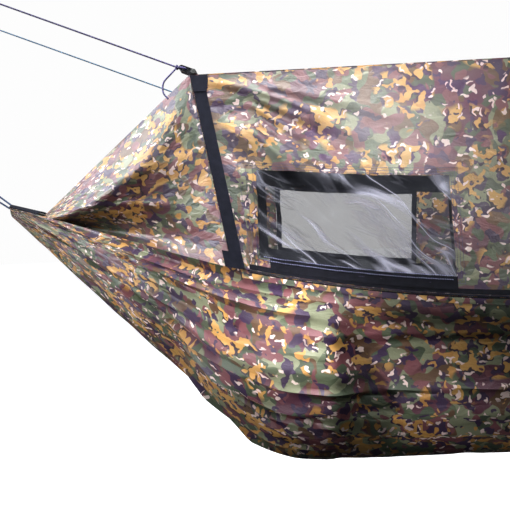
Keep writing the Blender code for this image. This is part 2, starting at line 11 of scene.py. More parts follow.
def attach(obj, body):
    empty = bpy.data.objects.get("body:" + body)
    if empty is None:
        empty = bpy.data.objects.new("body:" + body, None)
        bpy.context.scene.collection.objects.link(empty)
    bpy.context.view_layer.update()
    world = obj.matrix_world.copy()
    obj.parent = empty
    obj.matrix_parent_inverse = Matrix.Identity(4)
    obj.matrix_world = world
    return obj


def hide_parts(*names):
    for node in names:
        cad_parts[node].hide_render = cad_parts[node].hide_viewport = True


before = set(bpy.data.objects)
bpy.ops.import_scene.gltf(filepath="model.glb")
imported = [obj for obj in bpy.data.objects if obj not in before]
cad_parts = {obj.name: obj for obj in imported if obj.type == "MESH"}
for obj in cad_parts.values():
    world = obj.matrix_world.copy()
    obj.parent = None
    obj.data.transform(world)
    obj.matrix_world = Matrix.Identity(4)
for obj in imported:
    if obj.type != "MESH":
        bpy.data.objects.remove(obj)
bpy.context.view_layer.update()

# The part's own sizes, in metres. Shares run from 0 at the roof to 1 at the rim.
EYE_X, TIP_X, TIP_HALF_WIDTH, TIP_Z = 1.52, 1.42, 0.014, -0.072
RIM_LOW_Z, RIM_RADIUS, RIM_HALF_WIDTH, RIM_STRAIGHT_X = -0.340, 3.40, 0.26, 0.82
CLOTH, SEAM_GAP, GAP = 0.002, 0.0005, 0.0003
FLOOR_Z, FLOOR_END_X, FLOOR_TURN, FLOOR_SAG = -0.710, 0.715, 0.022, 0.024
FLOOR_SQUARENESS, TIP_SQUARENESS, BELLY = 8.0, 2.1, 0.018
ROOF_Z, ROOF_HALF_LENGTH, ROOF_HALF_WIDTH, ROOF_SAG = 0.204, 0.888, 0.200, 0.012
FOOT_X, RIDGE_END_X, RIDGE_END_HALF_WIDTH, RIDGE_END_Z = 0.807, 1.315, 0.036, -0.099
END_TUCK, END_INSET, END_GAP = 0.020, 0.050, 0.0020
WALL_FOLD, WALL_FOLDS, WALL_DRAW, WALL_PLAIN_X = 0.011, 2.2, 0.009, 0.745
WALL_HEIGHT = ROOF_Z - RIM_LOW_Z
WINDOW_TOP, WINDOW_BOTTOM, FILM_DEPTH = 0.49, 0.93, 0.0004
WINDOWS = {
    -1: {"left": -0.745, "right": -0.305, "top": 0.041, "bottom": 0.028, "start": 0.020, "end": 0.006},
    1: {"left": -0.700, "right": -0.270, "top": 0.020, "bottom": 0.016, "start": 0.016, "end": 0.016},
}
ZIP_END_X, CHAIN_HALF_WIDTH, CHAIN, TAPE_WIDTH, TAPE = 0.768, 0.0025, 0.0024, 0.012, 0.0012
WEBBING_WIDTH, WEBBING = 0.030, 0.0016
STRAP_ROOM = WEBBING_WIDTH + 0.002
TAB_RISE, TAB_DROP, TAB_OUT, TAB_IN = 0.035, 0.003, 0.016, 0.018
POLE_RADIUS, POLE_PLAY, LOOP_LENGTH = 0.0045, 0.0004, 0.030
GUY_DIAMETER, GUY_END_X, GUY_SLOPE, GUY_EYE_RADIUS, KNOT_RADIUS = 0.004, 1.55, 0.412, 0.013, 0.0065
ROPE_DIAMETER, ROPE_EYE_RADIUS, ROPE_SPREAD = 0.005, 0.013, 0.005
HEM_START, HEM_OVERHANG, HEM_CROWN = 0.022, 0.0003, 0.006
PAD_HALF_LENGTH, PAD_HALF_WIDTH, PAD_THICKNESS, PAD_SEAT = 0.62, 0.180, 0.045, 0.0052
TAIL_ROUTE = ((0, 0, 0), (0.010, 0.006, -0.012), (0.026, 0.018, -0.034), (0.027, 0.024, -0.058), (0.016, 0.027, -0.074))
SIDES = (("front", -1), ("back", 1))
ENDS = (("left", -1), ("right", 1))
CORNERS = [(f"{side_name}_{end_name}", side, end) for side_name, side in SIDES for end_name, end in ENDS]

# Sizes that only the scene has
INSIDE = np.array([0.0, 0.0, -0.22])            # every surface faces away from this point
THIN, FILM = 0.0012, 0.0005                     # shown thickness of the cloth and of the film
BED_ROWS, BED_COLUMNS, ROW_CROWDING = 300, 150, 0.94
WALL_COLUMNS, WALL_ROWS, WALL_SLOPE = 280, 110, 0.54    # the slope is a wall's length from roof to zipper
WINDOW_AREA = 0.44 * 0.235
TAPE_START = CHAIN_HALF_WIDTH + GAP             # from the middle of the teeth to a tape
OVER_STRAP = 2.0 * SEAM_GAP + WEBBING           # how proud a second layer of webbing lies
FLAP_END_X, FLAP = 0.785, 0.0006                # where the bed's folded edge ends, and its thickness
CAP_RADIUS, CAP_LENGTH, CAP_Y = 0.0064, 0.0058, 0.2008
BINDING_DEPTH, BINDING = 0.0034, 0.0010         # how far behind the film the binding lies, and its thickness
SILL_SHARE, SILL_RISE, SILL_LAP = 0.982, 0.0027, 0.004  # where a window's sill ends, how proud it stands, its lap
RIM_LEAN = 0.095                                # how far the bed's side leans out below the rim for 1 m of drop
LOOP_HOLE = (0.8965, 0.2179)                    # x and z of the opening in a corner's loop
BIGHT_CORD, KNOT_CORD, KNOT_SIZE = 0.0036, 0.0037, 0.00148
TOOTH_PITCH, STITCH_PITCH, STITCH = 0.0024, 0.0042, 0.0030
STITCH_LOWEST = 0.955                           # no seam round a window runs lower than this share
# Depth under the ropes' eyes, size and width of each lengthwise fold on the bed's flat side
FLAT_FOLDS = (
    (0.409, 0.0080, 0.012),
    (0.437, 0.0036, 0.008),
    (0.535, 0.0075, 0.0065),
    (0.562, 0.0040, 0.007),
    (0.600, 0.0026, 0.016),
)
# Lean in degrees, size, start and fade of each crease that fans out from a roof corner
FAN_CREASES = (
    (15, 0.6, 0.10, 0.50),
    (24, 1.0, 0.02, 0.46),
    (31, 1.25, 0.01, 0.55),
    (38, 0.9, 0.03, 0.38),
    (47, 0.8, 0.06, 0.34),
    (58, 0.9, 0.04, 0.44),
    (68, 0.7, 0.08, 0.42),
    (78, 0.6, 0.12, 0.50),
)
BOX_FACES = ((0, 1, 2, 3), (4, 7, 6, 5), (0, 4, 5, 1), (1, 5, 6, 2), (2, 6, 7, 3), (3, 7, 4, 0))

# The camera's place, and its yaw, pitch and roll in degrees; the photograph is 510 by 510
CAMERA_PLACE, CAMERA_TURN, LENS, SENSOR = (-0.71, -1.53, -0.151), (2.0, -3.0, 2.6), 40.0, 36.0
# Name, place, aim, size, watts and colour of each panel of light
PANELS = (
    ("key", (-3.4, -0.4, 1.9), (-1.0, 0.0, -0.1), 1.3, 52.0, (1.0, 0.99, 0.98)),
    ("low_left", (-3.4, -0.7, 0.45), (-0.8, 0.0, -0.4), 1.3, 43.0, (1.0, 0.99, 0.98)),
    ("top", (-0.5, -0.48, 3.3), (-0.2, -0.1, 0.0), 1.3, 140.0, (0.98, 0.99, 1.0)),
    ("back", (0.6, 3.4, 1.6), (-0.4, 0.0, 0.0), 2.6, 70.0, (0.95, 0.98, 1.0)),
    ("end_sheen", (-3.3, -0.9, 1.4), (-1.0, -0.15, 0.0), 3.2, 120.0, (0.80, 0.90, 1.0)),
    ("wall_sheen", (-0.75, -2.9, 1.6), (-0.6, -0.2, 0.1), 1.7, 60.0, (0.90, 0.95, 1.0)),
)
# Name, place, aim, cone in degrees, watts and radius of each spotlight
BEAMS = (
    ("bed_corner", (-2.6, -1.1, 0.3), (-0.72, -0.28, -0.42), 6.8, 720.0, 0.08),
    ("corner_glint", (-1.9, -2.3, 0.5), (-0.67, -0.28, -0.31), 6.4, 390.0, 0.07),
    ("end_low", (-3.2, -1.2, 0.7), (-1.15, -0.15, -0.12), 8.5, 360.0, 0.2),
    ("wall_top", (-0.5, -1.9, 2.4), (-0.58, -0.2, 0.33), 22.0, 560.0, 0.2),
)


# Small helpers
def unit(v):
    return v / np.linalg.norm(v, axis=-1, keepdims=True)


def smooth(t):
    t = np.clip(t, 0.0, 1.0)
    return t * t * (3.0 - 2.0 * t)


def mix(a, b, t):
    return a + (b - a) * t


def crest(distance, width):
    return np.exp(-((distance / width) ** 2))


def cells_inside(xs, shares, left, right, top, bottom):
    """A mask of a wall's cells whose middles lie in a rectangle."""
    x, s = ((v[:-1] + v[1:]) / 2 for v in (xs, shares))
    return ((x > left) & (x < right))[:, None] & (s > top) & (s < bottom)


LATTICES = [np.random.default_rng(k).random((64, 64)) * 2.0 - 1.0 for k in range(12)]


def noise(u, v, seed):
    """Smooth noise from -1 to 1 with about one bump per unit."""
    table = LATTICES[seed]
    size = len(table)
    iu, iv = np.floor(u).astype(int), np.floor(v).astype(int)
    fu, fv = smooth(u - iu), smooth(v - iv)
    a, b = table[iu % size, iv % size], table[(iu + 1) % size, iv % size]
    c, d = table[iu % size, (iv + 1) % size], table[(iu + 1) % size, (iv + 1) % size]
    return mix(mix(a, b, fu), mix(c, d, fu), fv)


def creases(u, v, seed, sharpness=2.5):
    """Ridged noise from 0 to 1: narrow crests with soft hollows between them."""
    return (1.0 - np.abs(noise(u, v, seed))) ** sharpness


def normals(grid):
    found = unit(np.cross(np.gradient(grid, axis=0), np.gradient(grid, axis=1)))
    return found if np.sum(found * (grid - INSIDE)) > 0.0 else -found


def steps_along(points, axis=0):
    return np.linalg.norm(np.diff(points, axis=axis), axis=-1)


def run_along(points):
    """Lengths along a line of points, from 0 at its start."""
    return np.concatenate([[0.0], np.cumsum(steps_along(points))])


def cloth_uv(grid):
    """Lengths over the cloth in metres, so that the print keeps its scale."""
    u = np.concatenate([np.zeros((1, grid.shape[1])), np.cumsum(steps_along(grid), axis=0)])
    v = np.concatenate([np.zeros((grid.shape[0], 1)), np.cumsum(steps_along(grid, 1), axis=1)], 1)
    u, v = np.median(u, axis=1, keepdims=True), v[np.argmax(v[:, -1])][None, :]
    return np.stack(np.broadcast_arrays(u, v), -1)


def put(name, data):
    """A new object in the scene that holds the data."""
    obj = bpy.data.objects.new(name, data)
    bpy.context.scene.collection.objects.link(obj)
    return obj


def add(name, verts, faces, uvs=None, smooth_shading=True):
    data = bpy.data.meshes.new(name)
    data.from_pydata([tuple(map(float, p)) for p in verts], [], [tuple(int(i) for i in f) for f in faces])
    if uvs is not None:
        layer = data.uv_layers.new(name="cloth")
        index = np.empty(len(data.loops), dtype=np.int32)
        data.loops.foreach_get("vertex_index", index)
        layer.data.foreach_set("uv", uvs[index].ravel())
    data.update()
    mesh = bmesh.new()
    mesh.from_mesh(data)
    bmesh.ops.recalc_face_normals(mesh, faces=mesh.faces)
    mesh.to_mesh(data)
    mesh.free()
    if smooth_shading:
        data.shade_smooth()
        data.set_sharp_from_angle(angle=math.radians(50.0))
    return put(name, data)


def add_box(verts, faces, corners):
    """Adds a block with eight corners to lists of points and faces."""
    faces += [[len(verts) + i for i in face] for face in BOX_FACES]
    verts += corners


def shell(name, outer, inner, uv, holes=None):
    """A closed solid between two grids of points. holes is a mask of cells left out."""
    rows, columns = outer.shape[:2]
    count = rows * columns
    verts = np.concatenate([outer.reshape(-1, 3), inner.reshape(-1, 3)])
    uvs = np.concatenate([uv.reshape(-1, 2), uv.reshape(-1, 2)])
    i, j = np.meshgrid(np.arange(rows - 1), np.arange(columns - 1), indexing="ij")
    kept = np.ones((rows - 1, columns - 1), bool) if holes is None else ~holes

    def corners(cells):
        a = (i * columns + j)[cells]
        return np.stack([a, a + columns, a + columns + 1, a + 1], 1)

    quads = corners(kept)
    faces = [quads, quads[:, ::-1] + count]
    padded = np.pad(kept, 1)
    for di, dj, p, q in ((0, -1, 0, 1), (1, 0, 1, 2), (0, 1, 2, 3), (-1, 0, 3, 0)):
        beyond = padded[1 + di : rows + di, 1 + dj : columns + dj]
        edge = corners(kept & ~beyond)
        faces.append(np.stack([edge[:, q], edge[:, p], edge[:, p] + count, edge[:, q] + count], 1))
    faces = np.concatenate(faces)
    used, renumbered = np.unique(faces, return_inverse=True)
    return add(name, verts[used], renumbered.reshape(faces.shape), uvs[used])


def ribbon(name, edge_a, edge_b, thickness, outset, steps=3):
    """A strip between two lines of points, lifted off the surface."""
    share = np.linspace(0.0, 1.0, steps)
    grid = edge_a[:, None] + (edge_b - edge_a)[:, None] * share[None, :, None]
    way = normals(grid)
    outer = grid + way * (outset + thickness)
    width = np.linalg.norm(edge_b - edge_a, axis=1).mean()
    uv = np.stack(np.broadcast_arrays(run_along(edge_a)[:, None], share[None, :] * width), -1)
    return shell(name, outer, outer - way * thickness, uv)


def tube(name, points, diameter, closed=False):
    curve = bpy.data.curves.new(name, "CURVE")
    curve.dimensions = "3D"
    curve.bevel_depth = diameter / 2.0
    curve.bevel_resolution = 3
    curve.use_fill_caps = not closed
    spline = curve.splines.new("POLY")
    spline.points.add(len(points) - 1)
    for point, co in zip(spline.points, points):
        point.co = (*[float(x) for x in co], 1.0)
    spline.use_cyclic_u = closed
    spline.use_smooth = True
    return put(name, curve)


def smooth_route(points, spacing):
    """An even line of points on a smooth curve through the given ones."""
    p = np.array(points, float)
    p = np.concatenate([[2.0 * p[0] - p[1]], p, [2.0 * p[-1] - p[-2]]])
    dense = [
        0.5 * (2 * b + (c - a) * t + (2 * a - 5 * b + 4 * c - d) * t**2 + (3 * b - a - 3 * c + d) * t**3)
        for a, b, c, d in zip(p, p[1:], p[2:], p[3:])
        for t in np.linspace(0.0, 1.0, 24, endpoint=False)
    ]
    dense = np.array(dense + [p[-2]])
    run = run_along(dense)
    even = np.linspace(0.0, run[-1], max(int(round(run[-1] / spacing)), 3) + 1)
    return np.stack([np.interp(even, run, dense[:, k]) for k in range(3)], 1)


# Materials
class Nodes:
    """Builds nodes in short calls, in a new material or in the tree handed in."""

    def __init__(self, name, tree=None):
        if tree is None:
            self.material = bpy.data.materials.new(name)
            self.material.use_nodes = True
            tree = self.material.node_tree
            self.shader = tree.nodes["Principled BSDF"]
        self.tree = tree

    def feed(self, socket, value):
        if isinstance(value, bpy.types.NodeSocket):
            self.tree.links.new(value, socket)
        else:
            socket.default_value = value

    def node(self, kind, inputs=None, **settings):
        made = self.tree.nodes.new("ShaderNode" + kind)
        for key, value in settings.items():
            setattr(made, key, value)
        for key, value in (inputs or {}).items():
            self.feed(made.inputs[key], value)
        return made

    def set(self, **values):
        for key, value in values.items():
            self.feed(self.shader.inputs[key.replace("_", " ")], value)

    def math(self, operation, a, b=0.0, clamp=False):
        return self.node("Math", {0: a, 1: b}, operation=operation, use_clamp=clamp).outputs[0]

    def times(self, a, b):
        return self.math("MULTIPLY", a, b)

    def vector_math(self, operation, a, b):
        return self.node("VectorMath", {0: a, 1: b}, operation=operation).outputs[0]

    def moved(self, vector, offset=(0.0, 0.0, 0.0), turn=(0.0, 0.0, 0.0), scale=(1.0, 1.0, 1.0)):
        inputs = {"Vector": vector, "Location": offset, "Rotation": turn, "Scale": scale}
        return self.node("Mapping", inputs).outputs[0]

    def uv(self, scale=(1.0, 1.0, 1.0), offset=(0.0, 0.0, 0.0), turn=0.0):
        source = self.node("UVMap", uv_map="cloth").outputs["UV"]
        return self.moved(source, offset, (0.0, 0.0, turn), scale)

    def place(self, turn=(0.0, 0.0, 0.0)):
        return self.moved(self.node("TexCoord").outputs["Object"], turn=turn)

    def noise(self, vector, scale, detail, roughness=0.5, distortion=0.0):
        inputs = {"Vector": vector, "Scale": scale, "Detail": detail, "Roughness": roughness, "Distortion": distortion}
        return self.node("TexNoise", inputs).outputs["Fac"]

    def wave(self, vector, scale, direction, distortion=0.0, detail=2.0):
        inputs = {"Vector": vector, "Scale": scale, "Distortion": distortion, "Detail": detail}
        return self.node("TexWave", inputs, bands_direction=direction).outputs["Fac"]

    def step(self, value, low, high, to_low=0.0, to_high=1.0):
        inputs = {"Value": value, "From Min": low, "From Max": high, "To Min": to_low, "To Max": to_high}
        return self.node("MapRange", inputs).outputs[0]

    def blend(self, factor, a, b, mode="MIX"):
        return self.node("Mix", {0: factor, 6: a, 7: b}, data_type="RGBA", blend_type=mode).outputs[2]

    def bump(self, height, strength, distance, normal=None):
        inputs = {"Height": height, "Strength": strength, "Distance": distance}
        if normal is not None:
            inputs["Normal"] = normal
        return self.node("Bump", inputs).outputs[0]


def srgb(r, g, b):
    return (*[((c / 255.0 + 0.055) / 1.055) ** 2.4 if c > 10 else c / 255.0 / 12.92 for c in (r, g, b)], 1.0)


def camouflage(name, offset, turn=0.0, lit_through=0.0, shine=0.34, ochre=0.515, dull=0.0):
    """Printed satin cloth: rounded patches under clusters of ochre with dark edges and a few pale strokes."""
    n = Nodes(name)
    base = n.uv(offset=offset, turn=turn)

    def warped(scale, amount, seed):
        moved = n.moved(base, (seed * 1.7, seed * 2.3, seed))
        swirl = n.node("TexNoise", {"Vector": moved, "Scale": scale, "Detail": 1.0}).outputs["Color"]
        shift = n.vector_math("SUBTRACT", swirl, (0.5, 0.5, 0.5))
        shift = n.node("VectorMath", {0: shift, "Scale": amount}, operation="SCALE").outputs[0]
        return n.vector_math("ADD", base, shift)

    soft_at, wavy_at = warped(24.0, 0.022, 1), warped(48.0, 0.034, 2)

    def layer(scale, level, seed, at=None, move=(0.0, 0.0), soft=0.008):
        moved = n.moved(at or soft_at, (seed * 7.31 + move[0], seed * 3.17 + move[1], seed * 1.9))
        return n.step(n.noise(moved, scale, 0.0), level - soft, level + soft)

    def where(scale, level, seed):
        """Wide soft areas that a layer is kept to."""
        return layer(scale, level, seed, soft=0.02)

    def strokes(scale, radius, seed, stretch, angle):
        moved = n.moved(wavy_at, (seed * 5.1, seed * 2.7, 0.0), (0.0, 0.0, angle), stretch)
        cells = n.node("TexVoronoi", {"Vector": moved, "Scale": scale}, voronoi_dimensions="2D")
        return n.math("SUBTRACT", 1.0, n.step(cells.outputs["Distance"], radius - 0.012, radius + 0.012))

    colour = n.blend(layer(15.0, 0.46, 1), srgb(88, 98, 74), srgb(132, 136, 108))
    for scale, level, seed, tone in (
        (12.0, 0.572, 2, (92, 50, 66)),
        (19.0, 0.60, 3, (98, 70, 50)),
        (23.0, 0.60, 4, (72, 82, 64)),
        (26.0, 0.615, 11, (120, 70, 76)),
    ):
        colour = n.blend(layer(scale, level, seed), colour, srgb(*tone))
    colour = n.blend(layer(30.0, 0.605, 5, wavy_at), colour, srgb(58, 38, 70))
    cluster = where(7.5, ochre, 16)
    for mask, area, tone in (
        (layer(44.0, 0.562, 6, wavy_at, (0.0060, -0.0048)), cluster, (42, 24, 42)),
        (layer(44.0, 0.583, 6, wavy_at), cluster, (206, 156, 84)),
        (layer(44.0, 0.64, 13, wavy_at), where(9.0, 0.5, 17), (196, 142, 74)),
        (strokes(19.0, 0.142, 7, (1.0, 2.1, 1.0), 0.5), where(13.0, 0.51, 18), (240, 216, 210)),
        (strokes(23.0, 0.140, 8, (1.9, 1.0, 1.0), 0.3), where(12.0, 0.53, 19), (236, 210, 204)),
    ):
        colour = n.blend(n.times(mask, area), colour, srgb(*tone))
    fade = n.noise(n.uv(offset=(3.0, 8.0, 0.0)), 5.0, 3.0)
    colour = n.blend(n.step(fade, 0.35, 0.75), colour, n.blend(0.10, colour, (0.50, 0.50, 0.48, 1.0)))
    crumple = n.noise(n.uv((1.0, 1.6, 1.0)), 26.0, 5.0, 0.55, 0.6)
    fine = n.noise(n.uv((2.2, 1.0, 1.0)), 95.0, 3.0, 0.6)
    weave = n.times(n.wave(n.uv(), 320.0, "X"), n.wave(n.uv(), 320.0, "Y"))
    normal = n.bump(fine, 0.3, 0.0010, n.bump(crumple, 0.7, 0.006))
    normal = n.bump(weave, 0.18, 0.0002, normal)
    worn = n.noise(n.uv(offset=(1.0, 2.0, 0.0)), 16.0, 4.0)
    gloss = n.step(worn, 0.25, 0.75, 0.30 + dull, 0.46 + dull)
    n.set(Base_Color=colour, Roughness=gloss, Normal=normal, Specular_IOR_Level=shine)
    if lit_through:
        n.set(Subsurface_Weight=lit_through, Subsurface_Radius=(1.0, 1.0, 1.0), Subsurface_Scale=0.02)
    return n.material


def webbing(name, colour, across=190.0, along=260.0):
    """Flat woven webbing: ribs across the strip and a finer weave along it."""
    n = Nodes(name)
    weave = n.times(n.wave(n.uv(), along, "X", 0.6, 1.0), n.wave(n.uv(), across, "Y"))
    dust = n.noise(n.uv(), 60.0, 4.0, 0.6)
    r, g, b = colour
    tone = n.blend(n.step(dust, 0.35, 0.8), srgb(r, g, b), srgb(r + 13, g + 13, b + 16))
    tone = n.blend(weave, n.blend(1.0, tone, (0.62, 0.62, 0.64, 1.0), "MULTIPLY"), tone)
    n.set(Base_Color=tone, Roughness=0.88, Normal=n.bump(weave, 0.7, 0.0005), Specular_IOR_Level=0.18)
    return n.material


def film_material(name):
    """Clear vinyl with a grey tint, a few pale streaks that cross it aslant as painted highlights of its folds, and
    slight waves.
    """
    n = Nodes(name)
    lean = n.times(n.math("SUBTRACT", n.noise(n.uv(), 7.0, 1.0), 0.5), 0.9)

    def slanting(angle, seed, scale, thin, reach):
        """A mask of thin painted highlight lines at an angle, with gaps, and the waves that they crown."""
        flat = n.uv(offset=(seed, seed * 0.7, 0.0), turn=math.radians(angle))
        split = n.node("SeparateXYZ", {0: flat}).outputs
        over = n.math("ADD", n.times(split[1], scale), lean)
        at = n.node("CombineXYZ", {0: n.times(split[0], reach), 1: over, 2: seed}).outputs[0]
        waves = n.noise(at, 1.0, 2.0, 0.45)
        off = n.math("ABSOLUTE", n.math("SUBTRACT", waves, 0.5))
        line = n.math("SUBTRACT", 1.0, n.step(off, 0.0, thin))
        gaps = n.step(n.noise(n.uv(offset=(seed * 3.0, 1.0, 0.0)), 6.0, 1.0), 0.36, 0.54)
        return n.times(line, gaps), waves

    first, wave = slanting(36.0, 2.0, 11.0, 0.042, 1.2)
    second, _ = slanting(48.0, 5.0, 14.0, 0.026, 1.0)
    third, _ = slanting(28.0, 9.0, 20.0, 0.014, 1.8)
    # Painted highlights: pale lines stand in for light glancing off the film's folds, and the film is less clear under
    # them
    painted_highlight_streaks = n.math("MAXIMUM", n.math("MAXIMUM", first, n.times(second, 0.8)), n.times(third, 0.45))
    colour = n.blend(painted_highlight_streaks, srgb(64, 66, 74), srgb(206, 206, 226))
    cover = n.math("ADD", n.times(painted_highlight_streaks, 0.34), 0.23, clamp=True)
    n.set(Base_Color=colour, Alpha=cover, Roughness=0.20, Normal=n.bump(wave, 0.6, 0.008), Specular_IOR_Level=0.30)
    return n.material


def cord_material(name, colour):
    """Braided cord: two crossing sets of fine strands."""
    n = Nodes(name)
    one, two = (n.wave(n.place(turn), 160.0, "DIAGONAL", 0.4) for turn in ((0.0, 0.7, 0.0), (0.0, -0.7, 0.4)))
    braid = n.times(one, two)
    r, g, b = colour
    tone = n.blend(braid, srgb(r * 0.55, g * 0.55, b * 0.6), srgb(r * 1.25, g * 1.25, b * 1.2))
    n.set(Base_Color=tone, Roughness=0.62, Normal=n.bump(braid, 0.5, 0.0004), Specular_IOR_Level=0.4, Sheen_Weight=0.2)
    return n.material


def plain(name, colour, roughness, metallic=0.0, depth=0.0002):
    """A moulded, lacquered or foam surface with slight grain and uneven gloss."""
    n = Nodes(name)
    speck = n.noise(n.place(), 420.0, 4.0, 0.6)
    broad = n.noise(n.place(), 28.0, 3.0, 0.5)
    r, g, b = colour
    tone = n.blend(n.step(broad, 0.3, 0.75), srgb(r, g, b), srgb(r * 1.3 + 4, g * 1.3 + 4, b * 1.3 + 4))
    rough = n.step(speck, 0.0, 1.0, roughness - 0.08, roughness + 0.10)
    n.set(Base_Color=tone, Roughness=rough, Metallic=metallic, Normal=n.bump(speck, 0.3, depth))
    return n.material


def wear(obj, mat, node=None):
    """Gives a piece its material, on the hammock's body. node is the CAD node that it replaces."""
    obj.data.materials.clear()
    obj.data.materials.append(mat)
    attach(obj, "hammock")
    if node:
        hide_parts(node)
    return obj


def dress(node, mat):
    """A better material on a CAD node whose shape stays."""
    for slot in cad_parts[node].material_slots:
        slot.material = mat


# Camera and studio
def look(yaw, pitch, roll):
    """Axes of a camera as the columns of a matrix."""
    y, p, r = (math.radians(a) for a in (yaw, pitch, roll))
    forward = np.array([-math.sin(y) * math.cos(p), math.cos(y) * math.cos(p), math.sin(p)])
    right = unit(np.cross(forward, (0.0, 0.0, 1.0)))
    up = np.cross(right, forward)
    turned_right = right * math.cos(r) - up * math.sin(r)
    turned_up = up * math.cos(r) + right * math.sin(r)
    return np.stack([turned_right, turned_up, -forward], 1)


def make_camera():
    data = bpy.data.cameras.new("photo_camera")
    data.lens, data.sensor_width, data.sensor_fit = LENS, SENSOR, "HORIZONTAL"
    data.clip_start, data.clip_end = 0.01, 60.0
    place = np.eye(4)
    place[:3, :3], place[:3, 3] = look(*CAMERA_TURN), CAMERA_PLACE
    camera = put("photo_camera", data)
    camera.matrix_world = Matrix(place.tolist())
    bpy.context.scene.camera = camera


def light(name, kind, place, power, aim=None, **settings):
    data = bpy.data.lights.new(name, kind)
    data.energy = power
    for key, value in settings.items():
        setattr(data, key, value)
    lamp = put(name, data)
    lamp.location = place
    if aim:
        lamp.rotation_euler = (Vector(aim) - Vector(place)).to_track_quat("-Z", "Y").to_euler()
    return lamp


def make_world():
    """White where the camera sees it; as light, dimmer from the floor than from the room above."""
    world = bpy.data.worlds.new("studio")
    bpy.context.scene.world = world
    world.use_nodes = True
    world.node_tree.nodes.clear()
    n = Nodes("studio", world.node_tree)
    way = n.node("TexCoord").outputs["Generated"]
    height = n.node("SeparateXYZ", {0: way}).outputs["Z"]
    strength = n.step(height, -0.25, 0.40, 0.02, 0.13)
    lit = n.node("Background", {"Color": (0.93, 0.96, 1.0, 1.0), "Strength": strength}).outputs[0]
    seen = n.node("Background", {"Color": (0.983, 0.983, 0.983, 1.0), "Strength": 1.0}).outputs[0]
    is_seen = n.node("LightPath").outputs["Is Camera Ray"]
    chosen = n.node("MixShader", {0: is_seen, 1: lit, 2: seen}).outputs[0]
    n.node("OutputWorld", {"Surface": chosen})


def make_studio():
    make_world()
    n = Nodes("studio_floor")
    n.set(Base_Color=(0.86, 0.87, 0.88, 1.0), Roughness=0.9)
    n.set(Emission_Color=(0.97, 0.98, 1.0, 1.0), Emission_Strength=0.96)
    bpy.ops.mesh.primitive_plane_add(size=60.0, location=(0.0, 0.0, -1.75))
    floor = bpy.context.object
    floor.name = "studio_floor"
    floor.visible_diffuse = floor.visible_glossy = False
    floor.data.materials.append(n.material)

    for name, place, aim, size, power, colour in PANELS:
        lamp = light(name, "AREA", place, power, aim, shape="SQUARE", size=size, color=colour)
        lamp.visible_diffuse = not name.endswith("sheen")
    for name, place, aim, cone, power, radius in BEAMS:
        angle = math.radians(cone)
        light(name, "SPOT", place, power, aim, spot_size=angle, spot_blend=1.0, shadow_soft_size=radius)
    for x in (-0.45, 0.45):
        glow = light("through_cloth", "POINT", (x, -0.03, 0.03), 6.0, shadow_soft_size=0.12)
        glow.visible_camera = glow.visible_glossy = False
    settings = bpy.context.scene.view_settings
    settings.view_transform, settings.look = "Standard", "None"


# Shape of the rim and the bed, as on the part
def beyond_straight(x):
    """Share of the way from the end of the zipper's stretch to the tip."""
    return np.clip((np.abs(x) - RIM_STRAIGHT_X) / (TIP_X - RIM_STRAIGHT_X), 0.0, None)


def rim_half_width(x):
    share = np.minimum(beyond_straight(x), 1.0)
    return mix(RIM_HALF_WIDTH, TIP_HALF_WIDTH, 0.35 * share + 0.65 * smooth(share))


def rim_height(x):
    arc = RIM_LOW_Z + RIM_RADIUS - np.sqrt(RIM_RADIUS**2 - np.minimum(np.abs(x), RIM_STRAIGHT_X) ** 2)
    return mix(arc, TIP_Z, beyond_straight(x))


def rim_point(x, side):
    x = np.asarray(x, float)
    return np.stack([x, side * rim_half_width(x), rim_height(x)], -1)


def below_rim(stations, side):
    """Points along the rim, and the way down the bed's side at each."""
    rim = rim_point(stations, side)
    return rim, np.broadcast_to(unit(np.array([0.0, side * RIM_LEAN, -1.0])), rim.shape)


def roof_corner(end, side):
    return np.array([end * ROOF_HALF_LENGTH, side * ROOF_HALF_WIDTH, ROOF_Z])


def roof_edge(x, side):
    """Points along the roof's edge that a wall hangs from."""
    return np.stack(np.broadcast_arrays(x, side * ROOF_HALF_WIDTH, ROOF_Z - CLOTH - SEAM_GAP), -1)


def floor_height(x):
    reach = TIP_X - FLOOR_END_X
    turn = FLOOR_TURN * np.log1p(np.exp(np.minimum((np.abs(x) - FLOOR_END_X) / FLOOR_TURN, 60.0)))
    rise = TIP_Z - 2.0 * TIP_HALF_WIDTH - FLOOR_Z
    sag = FLOOR_SAG * np.sin(math.pi * np.clip((np.abs(x) - FLOOR_END_X) / reach, 0.0, 1.0))
    return FLOOR_Z + rise * turn / reach - sag


def bed_surface(share):
    """The bed without folds: rows along the hammock, columns from the front rim round to the back rim."""
    xs = np.sin(np.linspace(-1.0, 1.0, BED_ROWS) * math.pi / 2 * ROW_CROWDING)
    xs *= TIP_X / math.sin(math.pi / 2 * ROW_CROWDING)
    angle = np.linspace(0.0, math.pi, 361)
    rows = []
    for x in xs:
        squareness = mix(FLOOR_SQUARENESS, TIP_SQUARENESS, smooth((abs(x) / FLOOR_END_X - 0.9) / 0.45))
        across = np.sign(np.cos(angle)) * np.abs(np.cos(angle)) ** (2.0 / squareness)
        down = np.abs(np.sin(angle)) ** (2.0 / squareness)
        belly = BELLY * rim_half_width(x) / RIM_HALF_WIDTH
        y = -across * (rim_half_width(x) + belly * np.sin(math.pi * down) ** 2)
        z = mix(rim_height(x), floor_height(x), down)
        run = run_along(np.stack([y, z], 1))
        y, z = (np.interp(share * run[-1], run, values) for values in (y, z))
        rows.append(np.stack([np.full(len(y), x), y, z], 1))
    grid = np.array(rows)
    for edge, inward in ((0, 1), (-1, -2)):
        grid[:, edge] += unit(grid[:, inward] - grid[:, edge]) * 0.6 * CHAIN_HALF_WIDTH
    return grid


